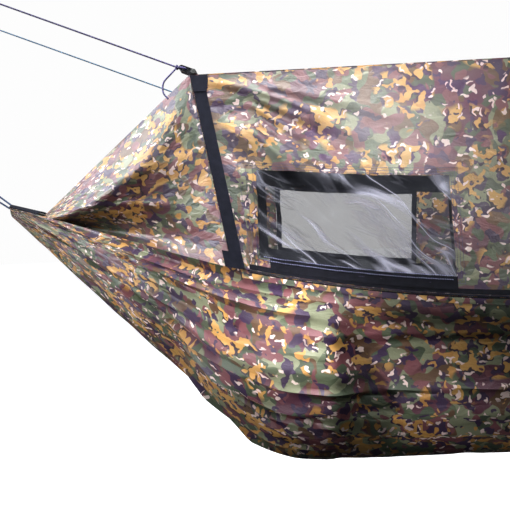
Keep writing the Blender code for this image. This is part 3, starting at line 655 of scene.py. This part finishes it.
def tip_folds(x, s, near):
    """Long folds that run out from the gathered tips."""
    wander = 0.10 * noise(x * 3.0 + 5.0, s * 2.0, 1)
    way = np.sign(s - 0.5)
    folds = np.sin(2.0 * math.pi * (9.0 * near + 2.3 * wander + 0.15 * way))
    folds += 0.7 * np.sin(2.0 * math.pi * (17.0 * near + 4.0 * wander + 0.4 * way))
    folds += 3.2 * (creases(x * 1.1 + 3.0, near * 24.0 + 5.0 * wander, 2, 5.0) - 0.30)
    folds += 1.7 * (creases(x * 1.6 + 8.0, near * 46.0 + 8.0 * wander, 5, 4.0) - 0.32)
    return folds * (1.0 - 0.65 * smooth((near - 0.30) / 0.14))


def flat_folds(x, drop):
    """Soft folds and taut lines along the flat side."""
    out = np.zeros_like(x)
    for line, size, thin in FLAT_FOLDS:
        off = drop - line - 0.010 * noise(x * 1.8 + line * 40.0, line * 10.0, 3)
        out += size * (crest(off, thin) - 0.6 * crest(off - 1.6 * thin, 1.4 * thin))
    return out


def bed_grid():
    """Outer side of the bed with its folds."""
    share = np.linspace(0.0, 1.0, BED_COLUMNS)
    grid = bed_surface(share)
    x, s = grid[:, :, 0], np.broadcast_to(share, grid.shape[:2])
    near = np.minimum(s, 1.0 - s)                       # 0 at a rim, 0.5 under the middle
    drop = -grid[:, :, 2]
    seam = smooth(near / 0.035)
    tip = smooth((TIP_X - np.abs(x)) / 0.14)
    middle = 1.0 - smooth((np.abs(x) - 0.45) / 0.40)
    reach = smooth((np.abs(x) - 0.46) / 0.32)
    width = rim_half_width(x) / RIM_HALF_WIDTH
    out = 0.0088 * reach * tip * seam * tip_folds(x, s, near) * (0.35 + 0.65 * width)
    out += middle * seam * (flat_folds(x, drop) + 0.0030 * noise(x * 5.0 + 1.0, near * 11.0, 4))
    out += 0.0016 * seam * tip * noise(x * 22.0, near * 46.0, 5)
    out += 0.0012 * seam * tip * (creases(x * 9.0 + near * 30.0, near * 26.0 - x * 5.0, 6) - 0.4)
    # The pad's corners push the cloth out, which turns it at the end of the flat side
    out += 0.016 * crest(np.abs(x) - 0.61, 0.13) * crest(near - 0.20, 0.12)
    # Between them the flat side is drawn in under the rim
    flat = 1.0 - smooth((np.abs(x) - 0.520) / 0.075)
    depth = np.clip((drop - 0.34) / 0.36, 0.0, 1.0)
    inward = flat * (BELLY * np.sin(math.pi * depth) ** 2 + 0.024 * smooth((near - 0.022) / 0.06) + 0.010 * depth)
    grid[:, :, 1] -= np.sign(grid[:, :, 1]) * inward * smooth(np.abs(grid[:, :, 1]) / 0.20)
    # The floor hangs a little lower than the part's, and so does the slope beyond it
    under = smooth((drop - 0.45) / 0.25)
    grid[:, :, 2] -= (0.006 + 0.016 * flat) * under + 0.014 * crest(np.abs(x) - 0.90, 0.20) * smooth(near / 0.25)
    return grid + normals(grid) * out[..., None]


# Shape of the canopy
def snap(values, edges):
    """Moves the nearest value onto each edge."""
    for edge in edges:
        values[np.argmin(np.abs(values - edge))] = edge
    return values


def wall_columns(side):
    """Distances of fine columns along a wall, at the rim and at the roof."""
    low = np.array([FOOT_X, FOOT_X - STRAP_ROOM, WALL_PLAIN_X])
    high = np.array([ROOF_HALF_LENGTH, ROOF_HALF_LENGTH - STRAP_ROOM, WALL_PLAIN_X])
    low, high = np.array([*-low, *low[::-1]]), np.array([*-high, *high[::-1]])
    edges = (WINDOWS[side]["left"], WINDOWS[side]["right"], -FOOT_X + STRAP_ROOM, FOOT_X - STRAP_ROOM)
    fine = snap(np.linspace(-FOOT_X, FOOT_X, WALL_COLUMNS), edges)
    return fine, np.interp(fine, low, high)


def wall_bulge(x, share):
    """Folds that fan out from the roof's corners, a slight draw inwards, and small creases, none of it at a strap."""
    edge = np.sin(math.pi * np.clip(share / 0.96, 0.0, 1.0))
    reach = np.maximum(ROOF_HALF_LENGTH - STRAP_ROOM - np.abs(x) - (ROOF_HALF_LENGTH - FOOT_X) * share, 0.0)
    fan = np.sin(2.0 * math.pi * WALL_FOLDS * share * 0.5 / (reach + 0.22))
    big = WALL_FOLD * smooth(reach / 0.06) * np.exp(-reach / 0.30) * fan - WALL_DRAW * smooth(reach / 0.30)
    depth = WALL_SLOPE * share
    away = np.hypot(reach, depth)
    angle = np.arctan2(depth, reach + 0.012)
    thin = 0.0045 + 0.030 * away
    small = np.zeros_like(away)
    for lean, size, start, fade in FAN_CREASES:
        off = away * (angle - math.radians(lean) - 0.05 * noise(away * 6.0 + lean, lean * 0.37, 7))
        ridge = crest(off, thin) - 0.9 * crest(off - 1.7 * thin, 0.9 * thin)
        small += 0.0060 * size * smooth((away - start) / 0.07) * crest(away, fade) * ridge
    small *= smooth(reach / 0.02)
    slack = 0.0035 * noise(x * 6.0 + 2.0, share * 5.0, 9) + 0.0016 * noise(x * 21.0, share * 17.0, 10)
    return edge * (big + smooth(reach / 0.10) * slack) + smooth(share / 0.05) * smooth((0.97 - share) / 0.05) * small


def wall_grid(side, puckers=True):
    """Columns' x at the rim, rows' shares, and the points of a wall's outer side."""
    low_x, high_x = wall_columns(side)
    shares = snap(np.linspace(0.0, 1.0, WALL_ROWS), (WINDOW_TOP, WINDOW_BOTTOM))
    low, high = rim_point(low_x, side), roof_edge(high_x, side)
    low = low + unit(high - low) * 0.6 * CHAIN_HALF_WIDTH
    share = shares[None, :]
    grid = high[:, None] + (low - high)[:, None] * share[..., None]
    x, z = grid[:, :, 0], grid[:, :, 2]
    out = wall_bulge(x, share)
    if puckers:
        window = WINDOWS[side]
        to_x = np.maximum(window["left"] - x, x - window["right"])
        to_s = np.maximum(WINDOW_TOP - share, share - WINDOW_BOTTOM) * WALL_SLOPE
        gap = np.maximum(to_x, to_s)
        band = crest(gap - 0.014, 0.018) * (gap > -0.002)
        out = out + 0.0030 * band * (creases(x * 85.0 + z * 20.0, z * 60.0 + 3.0, 11, 2.0) - 0.4)
    grid[:, :, 1] += side * out
    return low_x, shares, grid


def wall_patch(side, xs, shares):
    """Points of a wall without puckers at the columns and shares given."""
    columns, rows, grid = wall_grid(side, puckers=False)
    lines = [[np.interp(shares, rows, grid[i, :, k]) for i in range(len(grid))] for k in range(3)]
    lines = np.stack(lines, -1)
    patch = [[np.interp(xs, columns, lines[:, j, k]) for j in range(len(shares))] for k in range(3)]
    return np.stack(patch, -1).transpose(1, 0, 2)


def wall_edge(side, end):
    """A wall's slanted edge from the roof down, and the way from it into the wall."""
    grid = wall_grid(side, puckers=False)[2]
    edge, nearby = (grid[0], grid[4]) if end < 0 else (grid[-1], grid[-5])
    return edge, unit(nearby - edge)


def end_half(end, side, share):
    """One side's line down an end panel, a share of the way from the straps to the tip."""
    bow = math.sin(math.pi * share)
    high = mix(roof_corner(end, side), np.array([end * RIDGE_END_X, side * RIDGE_END_HALF_WIDTH, RIDGE_END_Z]), share)
    low = rim_point(end * mix(FOOT_X, RIDGE_END_X + 0.01, share), side)
    low[1] -= side * (CLOTH + 0.004 + 0.010 * smooth(share * 4.0))
    low[2] -= END_TUCK * smooth(share * 5.0)
    down = np.linspace(0.0, 1.0, 60)
    line = high + (low - high) * down[:, None]
    # A bulge under the ridge, and a hollow below it
    inset, bulge, top, hollow = END_INSET * bow, 0.040 * bow**0.6, 0.07 + 0.62 * share**0.9, 0.87
    heights = [0.0, bulge, -0.20 * inset, -1.9 * inset, -inset]
    profile = np.interp(down, [0.0, top, top + 0.5 * (hollow - top), hollow, 1.0], heights)
    soft_profile = np.convolve(np.pad(profile, 3, "edge"), np.ones(7) / 7.0, "valid")
    soft_profile[0], soft_profile[-1] = profile[0], profile[-1]
    soft = np.sin(math.pi * down) * bow
    rays = creases(down * 7.0 + 1.5 * share + 2.0, share * 1.8 + (3.0 if side < 0 else 8.0), 4, 3.0) - 0.35
    bits = 0.007 * soft**0.6 * rays + 0.0026 * soft * noise(share * 16.0 + 3.0, down * 13.0, 2)
    line[:, 1] += side * (soft_profile + bits)
    return line


def end_grid(end):
    """Outer side of an end panel: rows from the straps to the tip, columns from rim to rim over both ridges."""
    across = np.linspace(0.0, 1.0, 24)[1:-1]
    rows = []
    for share in np.linspace(0.0, 1.0, 110):
        front, back = (end_half(end, side, share) for _, side in SIDES)
        crown = front[0] + (back[0] - front[0]) * across[:, None]
        crown[:, 2] -= 0.010 * math.sin(math.pi * share) * (1.0 - (2.0 * across - 1.0) ** 2)
        rows.append(np.concatenate([front[::-1], crown, back]))
    return np.array(rows) + np.array([end * END_GAP, 0.0, 0.0])


def roof_grid():
    x = np.linspace(-ROOF_HALF_LENGTH, ROOF_HALF_LENGTH, 150)
    y = np.linspace(-ROOF_HALF_WIDTH, ROOF_HALF_WIDTH, 40)
    u, v = np.meshgrid(x, y, indexing="ij")
    calm = np.cos(math.pi / 2 * u / ROOF_HALF_LENGTH) * np.cos(math.pi / 2 * v / ROOF_HALF_WIDTH)
    folds = 0.0030 * creases(u * 2.0 + 4.0, v * 16.0 + 2.0, 5) + 0.0010 * noise(u * 20.0, v * 22.0, 6)
    return np.stack([u, v, ROOF_Z - ROOF_SAG * calm - calm**0.5 * folds], -1)


# Cords
def corner_frame(end, side):
    """Middle of the pole in a roof corner's loop, the way that the guy pulls, and the loop's bore."""
    bore = POLE_RADIUS + POLE_PLAY
    inward = np.array([-end * (bore + 2.0 * WEBBING), -side * (0.002 + WEBBING_WIDTH / 2), SEAM_GAP + WEBBING + bore])
    return roof_corner(end, side) + inward, unit(np.array([end, 0.0, GUY_SLOPE])), bore


def tie_knot(name, centre, axis):
    """A tied knot: one cord in a threefold turn about the guy's line."""
    across = unit(np.cross(axis, (0.0, 1.0, 0.3)))
    third = np.cross(axis, across)
    t = np.linspace(0.0, 2.0 * math.pi, 72, endpoint=False)
    a, b, c = np.sin(t) + 2.0 * np.sin(2.0 * t), np.cos(t) - 2.0 * np.cos(2.0 * t), -1.4 * np.sin(3.0 * t)
    points = centre + KNOT_SIZE * (across * a[:, None] + third * b[:, None] + axis * c[:, None])
    return tube(name, points, KNOT_CORD, closed=True)


def bight_route(knot, away, side, end):
    """The cord's way from the knot through the corner's loop and back."""
    hole = np.array([end * LOOP_HOLE[0], side * (ROOF_HALF_WIDTH - 0.002 - WEBBING_WIDTH / 2), LOOP_HOLE[1]])
    out = np.array([0.0, side, 0.0])
    spots = ((0.45, 0.0150), (0.85, 0.0195), (1.0, 0.0185), (1.0, 0.008))
    there = [mix(knot, hole, share) + out * off for share, off in spots]
    back = [mix(knot, hole, share) - out * off for share, off in reversed(spots)]
    start = knot + away * 0.001
    return smooth_route([start, *there, *back, start], 0.003)[:-1]


def make_guys():
    dark = cord_material("cord_navy", (80, 68, 142))
    blue = cord_material("cord_blue", (62, 126, 172))
    for tag, side, end in CORNERS:
        mat = dark if side < 0 else blue
        middle, away, bore = corner_frame(end, side)
        knot = middle + away * (LOOP_LENGTH + bore + WEBBING + GAP + KNOT_RADIUS)
        start = knot + away * (KNOT_RADIUS + GAP)
        reach = (GUY_END_X - abs(start[0])) / abs(away[0])
        run = [start + away * d for d in np.linspace(0.0, reach, 40)]
        guy = tube(f"guy_line_{tag}", run, GUY_DIAMETER)
        eye_centre = run[-1] + away * (GUY_EYE_RADIUS + GUY_DIAMETER / 2 + GAP)
        upright = np.cross(away, (0.0, end, 0.0))
        turns = np.linspace(0.0, 2.0 * math.pi, 40, endpoint=False)
        circle = [eye_centre + (away * math.cos(a) + upright * math.sin(a)) * GUY_EYE_RADIUS for a in turns]
        eye = tube(f"guy_loop_{tag}", circle, GUY_DIAMETER, closed=True)
        spots = [np.array([end * x, side * y, z]) for x, y, z in TAIL_ROUTE]
        foot = knot + unit(spots[1]) * (KNOT_RADIUS + GAP)
        route = smooth_route([foot + spot for spot in spots], 0.0035)
        tail = tube(f"cord_tail_{tag}", route, GUY_DIAMETER)
        tied = tie_knot(f"cord_knot_{tag}", knot, away)
        core = tube(f"cord_core_{tag}", [knot - away * KNOT_RADIUS, knot, start + away * GAP], GUY_DIAMETER)
        bight = tube(f"cord_bight_{tag}", bight_route(knot, away, side, end), BIGHT_CORD, closed=True)
        for piece in (core, bight):
            wear(piece, mat)
        for piece, node in ((guy, "guy"), (eye, "guy_eye"), (tail, "guy_tail"), (tied, "guy_knot")):
            wear(piece, mat, f"{node}_{tag}")


def make_ropes():
    """A rope out of each tip, round its eye and back."""
    for name, end in ENDS:
        eye = np.array([end * EYE_X, 0.0, 0.0])
        away = unit(eye - np.array([end * TIP_X, 0.0, TIP_Z]))
        start_x = TIP_X + GAP + (ROPE_SPREAD + ROPE_DIAMETER / 2) * away[2]
        start = np.array([end * start_x, 0.0, TIP_Z + 0.001])
        away = unit(eye - start)
        upright = np.array([-end * away[2], 0.0, abs(away[0])])
        angles = np.radians(np.linspace(110.0, -110.0, 9))
        bend = [eye + (away * math.cos(a) + upright * math.sin(a)) * ROPE_EYE_RADIUS for a in angles]
        near, far = upright * ROPE_SPREAD, upright * (ROPE_SPREAD + 0.002)
        waist = mix(start, eye, 0.4)
        route = smooth_route([start + near, waist + far, *bend, waist - far, start - near], 0.004)
        mat = cord_material(f"rope_{name}", (48, 84, 136))
        rope = wear(tube(f"hanging_rope_{name}", route, ROPE_DIAMETER), mat, f"suspension_rope_{name}")


# Cloth
def make_cloth():
    wall_print = camouflage("camouflage_wall", turn=math.radians(8.0), offset=(0.2, 0.7, 0.0), lit_through=0.15)
    bed_print = camouflage("camouflage_bed", offset=(7.6, 4.9, 0.0), ochre=0.557)
    end_print = camouflage("camouflage_end", turn=math.radians(-35.0), offset=(4.4, 2.9, 0.0), shine=0.6, ochre=0.54)
    roof_print = camouflage("camouflage_roof", offset=(6.4, 5.2, 0.0), shine=0.10, dull=0.30)
    pieces = [("bed_cloth", "bed", bed_grid(), bed_print, "gathered", None)]
    pieces += [("roof_cloth", "roof_panel", roof_grid(), roof_print, "stretched", None)]
    for name, end in ENDS:
        pieces.append((f"end_cloth_{name}", f"end_panel_{name}", end_grid(end), end_print, "stretched", None))
    for name, side in SIDES:
        xs, shares, grid = wall_grid(side)
        window = WINDOWS[side]
        holes = cells_inside(xs, shares, window["left"], window["right"], WINDOW_TOP, WINDOW_BOTTOM)
        pieces.append((f"wall_cloth_{name}", f"wall_{name}", grid, wall_print, "stretched", holes))
    for name, node, grid, mat, held, holes in pieces:
        cloth = shell(name, grid, grid - normals(grid) * THIN, cloth_uv(grid), holes)
        wear(cloth, mat, node)
        length, width = steps_along(grid).sum(0).max(), steps_along(grid, 1).sum(1).max()
        across, along = grid[1:, :-1] - grid[:-1, :-1], grid[:-1, 1:] - grid[:-1, :-1]
        area = np.linalg.norm(np.cross(across, along), axis=-1).sum() - (0.0 if holes is None else WINDOW_AREA)
        area = min(float(area), float(length * width))


def make_windows():
    film = film_material("window_vinyl")
    binding = webbing("window_webbing", (17, 17, 22), 420.0, 420.0)
    play = SEAM_GAP / WALL_HEIGHT
    for name, side in SIDES:
        window = WINDOWS[side]
        left, right = window["left"] + SEAM_GAP, window["right"] - SEAM_GAP
        xs = np.linspace(left, right, 150)
        shares = np.linspace(WINDOW_TOP + play, WINDOW_BOTTOM - play, 84)
        grid = wall_patch(side, xs, shares)
        u, v = np.meshgrid(xs - left, (shares - shares[0]) * WALL_HEIGHT, indexing="ij")
        uv = np.stack([u, -v], -1)
        # Waves that cross the film aslant and die out at its edge
        edge = np.minimum(np.minimum(u, u[-1:] - u), np.minimum(v, v[:, -1:] - v))
        slant, over = 0.73 * u + 0.68 * v, 0.73 * v - 0.68 * u
        wave = 0.0030 * noise(slant * 2.0 + 4.0, over * 24.0 + 7.0, 3)
        wave += 0.0022 * (creases(slant * 1.6, over * 34.0 + 2.0, 1, 4.0) - 0.2)
        way = normals(grid)
        outer = grid - way * (FILM_DEPTH + smooth(edge / 0.03) * (0.0018 - wave))[..., None]
        pane = shell(f"window_pane_{name}", outer, outer - way * FILM, uv)
        wear(pane, film, f"window_film_{name}")
        # Four bands round the film's edge, behind it
        left, right = window["left"] + window["start"], window["right"] - window["end"]
        top, bottom = WINDOW_TOP + window["top"] / WALL_HEIGHT, WINDOW_BOTTOM - window["bottom"] / WALL_HEIGHT
        hole = cells_inside(xs, shares, left, right, top, bottom)
        ripple = 0.0008 * noise(u * 40.0, v * 40.0, 8)
        outer = grid - way * (FILM_DEPTH + BINDING_DEPTH + ripple)[..., None]
        band = shell(f"window_band_{name}", outer, outer - way * BINDING, uv + 5.0, hole)
        wear(band, binding, f"window_binding_{name}")


def make_sills():
    """A dark strip that binds each window's lower edge, down to the zipper's tape."""
    mat = webbing("sill_webbing", (20, 20, 30), 420.0, 420.0)
    for name, side in SIDES:
        xs = np.linspace(WINDOWS[side]["left"] + 0.024, WINDOWS[side]["right"], 120)
        edges = wall_patch(side, xs, np.array([WINDOW_BOTTOM - SILL_LAP, SILL_SHARE]))
        sill = ribbon(f"window_sill_{name}", edges[:, 0], edges[:, 1], SILL_RISE - SEAM_GAP, SEAM_GAP, steps=5)
        wear(sill, mat)


def make_straps():
    mat = webbing("strap_webbing", (28, 30, 44))
    for tag, side, end in CORNERS:
        edge, way = wall_edge(side, end)
        strap = ribbon(f"webbing_strap_{tag}", edge, edge + way * WEBBING_WIDTH, WEBBING, SEAM_GAP, steps=7)
        rises = edge[-1] + unit(edge[-8] - edge[-1]) * np.linspace(-TAB_DROP, TAB_RISE, 9)[:, None]
        a, b = rises - way[-1] * TAB_OUT, rises + way[-1] * TAB_IN
        tab = ribbon(f"webbing_tab_{tag}", a, b, WEBBING, OVER_STRAP, steps=7)
        for piece, node in ((strap, "strap"), (tab, "strap_tab")):
            wear(piece, mat, f"{node}_{tag}")


def make_zippers():
    tape_mat = webbing("zip_tape_weave", (24, 24, 34), 520.0, 700.0)
    teeth_mat = plain("zip_teeth_nylon", (34, 34, 46), 0.38, depth=0.0001)
    stations = np.linspace(-ZIP_END_X, ZIP_END_X, 160)
    outer = TAPE_START + TAPE_WIDTH
    for name, side in SIDES:
        rim, down = below_rim(stations, side)
        up = unit(roof_edge(stations, side) - rim)
        for part, way in (("upper", up), ("lower", down)):
            tape = ribbon(f"zip_band_{part}_{name}", rim + way * TAPE_START, rim + way * outer, TAPE, GAP)
            wear(tape, tape_mat, f"zip_tape_{part}_{name}")
        out = np.array([0.0, side, 0.0])
        verts, faces = [], []
        for k in range(int(2 * ZIP_END_X / TOOTH_PITCH)):
            x = -ZIP_END_X + (k + 0.5) * TOOTH_PITCH
            up = np.array([-x / RIM_RADIUS, 0.0, math.sqrt(1.0 - (x / RIM_RADIUS) ** 2)])
            along = np.cross(up, out)
            # Every other tooth leans up and stands a little prouder
            lean, rise = (0.00018, 1.0) if k % 2 else (-0.00018, 0.93)
            centre = rim_point(x, side) + up * lean
            half_long, half_high = 0.40 * TOOTH_PITCH, CHAIN_HALF_WIDTH - 0.0003
            corners = [
                centre + (along * du * half_long + up * dv * half_high) * shrink + out * proud
                for proud, shrink in ((SEAM_GAP, 1.0), (SEAM_GAP + CHAIN * rise, 0.72))
                for du, dv in ((-1, -1), (1, -1), (1, 1), (-1, 1))
            ]
            add_box(verts, faces, corners)
        teeth = add(f"zip_chain_{name}", verts, faces, smooth_shading=False)
        wear(teeth, teeth_mat, f"zip_teeth_{name}")


def make_hem_flaps():
    """The bed's edge folds over the lower tape, clear of the slider."""
    mat = bpy.data.materials["camouflage_bed"]
    for name, side in SIDES:
        rim, down = below_rim(np.linspace(-FLAP_END_X, FLAP_END_X, 220), side)
        high, low = rim + down * (TAPE_START + 0.0030), rim + down * (TAPE_START + TAPE_WIDTH + 0.004)
        flap = ribbon(f"bed_hem_{name}", high, low, FLAP, GAP + TAPE + 0.0002, steps=7)
        wear(flap, mat)


def make_corners():
    """Folded webbing over each roof corner and a cap on each end of the poles."""
    mat = bpy.data.materials["strap_webbing"]
    cap_mat = plain("pole_cap", (30, 31, 27), 0.45)
    loop_mat = plain("corner_webbing", (20, 20, 27), 0.85, depth=0.0004)
    for tag, side, end in CORNERS:
        middle, away, _ = corner_frame(end, side)
        seat = (middle[0], side * CAP_Y, middle[2])
        bpy.ops.mesh.primitive_cylinder_add(
            vertices=28, radius=CAP_RADIUS, depth=CAP_LENGTH, location=seat, rotation=(math.pi / 2, 0.0, 0.0)
        )
        cap = bpy.context.object
        cap.name = f"pole_cap_{tag}"
        soften = cap.modifiers.new("round", "BEVEL")
        soften.width, soften.segments = 0.0016, 3
        cap.data.shade_smooth()
        cap.data.set_sharp_from_angle(angle=math.radians(60.0))
        wear(cap, cap_mat)
        # The loop's webbing, folded flat between the pole and the knot
        upright = np.cross(away, (0.0, 1.0, 0.0))
        centre = middle + away * 0.0150
        spots = [
            centre + away * u + upright * w + np.array([0.0, v, 0.0])
            for u, w in ((-0.0115, -0.0034), (0.0125, -0.0030), (0.0125, 0.0030), (-0.0115, 0.0034))
            for v in (-0.0125, 0.0125)
        ]
        sides = [(0, 2, 4, 6), (1, 7, 5, 3), (0, 1, 3, 2), (2, 3, 5, 4), (4, 5, 7, 6), (6, 7, 1, 0)]
        wear(add(f"corner_fold_{tag}", spots, sides, smooth_shading=False), loop_mat)
        # A patch over the strap's top that narrows downwards
        edge, ways = wall_edge(side, end)
        rows = edge[0] + unit(edge[8] - edge[0]) * np.linspace(0.001, 0.040, 9)[:, None]
        spread = 0.010 * np.cos(np.linspace(0.0, 1.0, 9) * math.pi / 2)[:, None]
        a, b = rows - ways[0] * 0.0005, rows + ways[0] * (WEBBING_WIDTH + spread)
        patch = ribbon(f"corner_patch_{tag}", a, b, WEBBING, OVER_STRAP, steps=7)
        wear(patch, mat)


def make_hems():
    mat = webbing("hem_weave", (20, 22, 34), 300.0, 300.0)
    for name, end in ENDS:
        rows = []
        for x in np.linspace(RIDGE_END_X + HEM_START, TIP_X + HEM_OVERHANG, 40):
            half = rim_half_width(x) + 0.003
            rise = rim_height(x) + CLOTH + SEAM_GAP - 0.6 * CHAIN_HALF_WIDTH - HEM_CROWN / 3.0
            rows.append([[end * x, y * half, rise + HEM_CROWN * (1 - y * y)] for y in np.linspace(-1, 1, 24)])
        grid = np.array(rows)
        piece = shell(f"hem_cloth_{name}", grid, grid - normals(grid) * CLOTH, cloth_uv(grid))
        wear(piece, mat, f"hem_{name}")


def make_pad():
    """A foam pad with a crowned top and sewn channels across it."""
    base = FLOOR_Z + CLOTH + PAD_SEAT
    a, b = np.meshgrid(np.linspace(-1.0, 1.0, 160), np.linspace(-1.0, 1.0, 50), indexing="ij")
    body = np.clip((1.0 - np.abs(a) ** 24) * (1.0 - np.abs(b) ** 12), 0.0, 1.0) ** 0.45
    channels = np.abs(np.sin(math.pi * 8.0 * a)) ** 0.35
    top = base + PAD_THICKNESS * (0.5 + 0.5 * body * (0.90 + 0.10 * channels))
    low = base + PAD_THICKNESS * (0.5 - 0.5 * body)
    x, y = a * PAD_HALF_LENGTH * (1.0 - 0.004 * b * b), b * PAD_HALF_WIDTH
    pad = shell("pad_cover", np.stack([x, y, top], -1), np.stack([x, y, low], -1), np.stack([x, y], -1))
    wear(pad, plain("pad_cloth", (62, 70, 46), 0.82, depth=0.0004), "sleeping_pad")


class Seam:
    """Stitches on a wall, gathered into one piece. A spot is an x and a share."""

    def __init__(self, side):
        self.columns, self.rows, self.grid = wall_grid(side)
        self.way = normals(self.grid)
        self.verts, self.faces = [], []

    def at(self, x, s):
        i = np.interp(x, self.columns, np.arange(len(self.columns)))
        j = np.interp(s, self.rows, np.arange(len(self.rows)))
        i0, j0 = int(min(i, len(self.columns) - 2)), int(min(j, len(self.rows) - 2))
        fi, fj = i - i0, j - j0
        found = []
        for g in (self.grid, self.way):
            found.append(mix(mix(g[i0, j0], g[i0 + 1, j0], fi), mix(g[i0, j0 + 1], g[i0 + 1, j0 + 1], fi), fj))
        return found[0], unit(found[1])

    def stitch(self, start, finish, rise=0.0, width=0.0011, height=0.0009):
        (p, n1), (q, n2) = self.at(*start), self.at(*finish)
        out = unit(n1 + n2)
        across = np.cross(unit(q - p), out)
        corners = [
            spot + across * du * width / 2 + out * (rise + 0.0001 + dn * height)
            for spot in (p, q)
            for du, dn in ((-1, 0.0), (1, 0.0), (0.6, 1.0), (-0.6, 1.0))
        ]
        add_box(self.verts, self.faces, corners)

    def finish(self, name, mat):
        wear(add(name, self.verts, self.faces, smooth_shading=False), mat)
        self.verts, self.faces = [], []


def make_stitches():
    """Rows of short stitches round the windows and along their sills."""
    thread = plain("thread", (58, 52, 84), 0.6)
    pale = plain("thread_pale", (112, 114, 150), 0.6)
    dash = STITCH / WALL_SLOPE
    for name, side in SIDES:
        window, seam = WINDOWS[side], Seam(side)
        for off in (0.003, 0.010, 0.017):
            left, right = window["left"] - off, window["right"] + off
            top, bottom = WINDOW_TOP - off / WALL_SLOPE, min(WINDOW_BOTTOM + off / WALL_SLOPE, STITCH_LOWEST)
            for s in (top, bottom):
                for x in np.arange(left, right - STITCH, STITCH_PITCH):
                    seam.stitch((x, s), (x + STITCH, s))
            for x in (left, right):
                for s in np.arange(top, bottom - dash, STITCH_PITCH / WALL_SLOPE):
                    seam.stitch((x, s), (x, s + dash))
        seam.finish(f"stitches_window_{name}", thread)
        for off in (-0.004, 0.005):
            s = WINDOW_BOTTOM + off / WALL_SLOPE
            for x in np.arange(window["left"] + 0.01, window["right"] - 0.01, 0.0052):
                seam.stitch((x, s), (x + 0.0036, s + 0.0012), SILL_RISE, 0.0016, 0.0012)
        seam.finish(f"stitches_sill_{name}", pale)


def dress_nodes():
    loop_mat = plain("loop_webbing", (30, 30, 38), 0.8, depth=0.0004)
    pole_mat = plain("pole_rod", (36, 36, 40), 0.35)
    metal = plain("zip_metal_black", (46, 46, 50), 0.35, 0.9)
    for tag, _, _ in CORNERS:
        dress(f"corner_loop_{tag}", loop_mat)
    for name, _ in SIDES:
        dress(f"zip_slider_{name}", metal)
        dress(f"zip_pull_{name}", metal)
    for name, _ in ENDS:
        dress(f"spreader_pole_{name}", pole_mat)


make_camera()
make_guys()
make_ropes()
make_studio()
make_cloth()
make_windows()
make_sills()
make_straps()
make_zippers()
make_hem_flaps()
make_corners()
make_hems()
make_pad()
make_stitches()
dress_nodes()
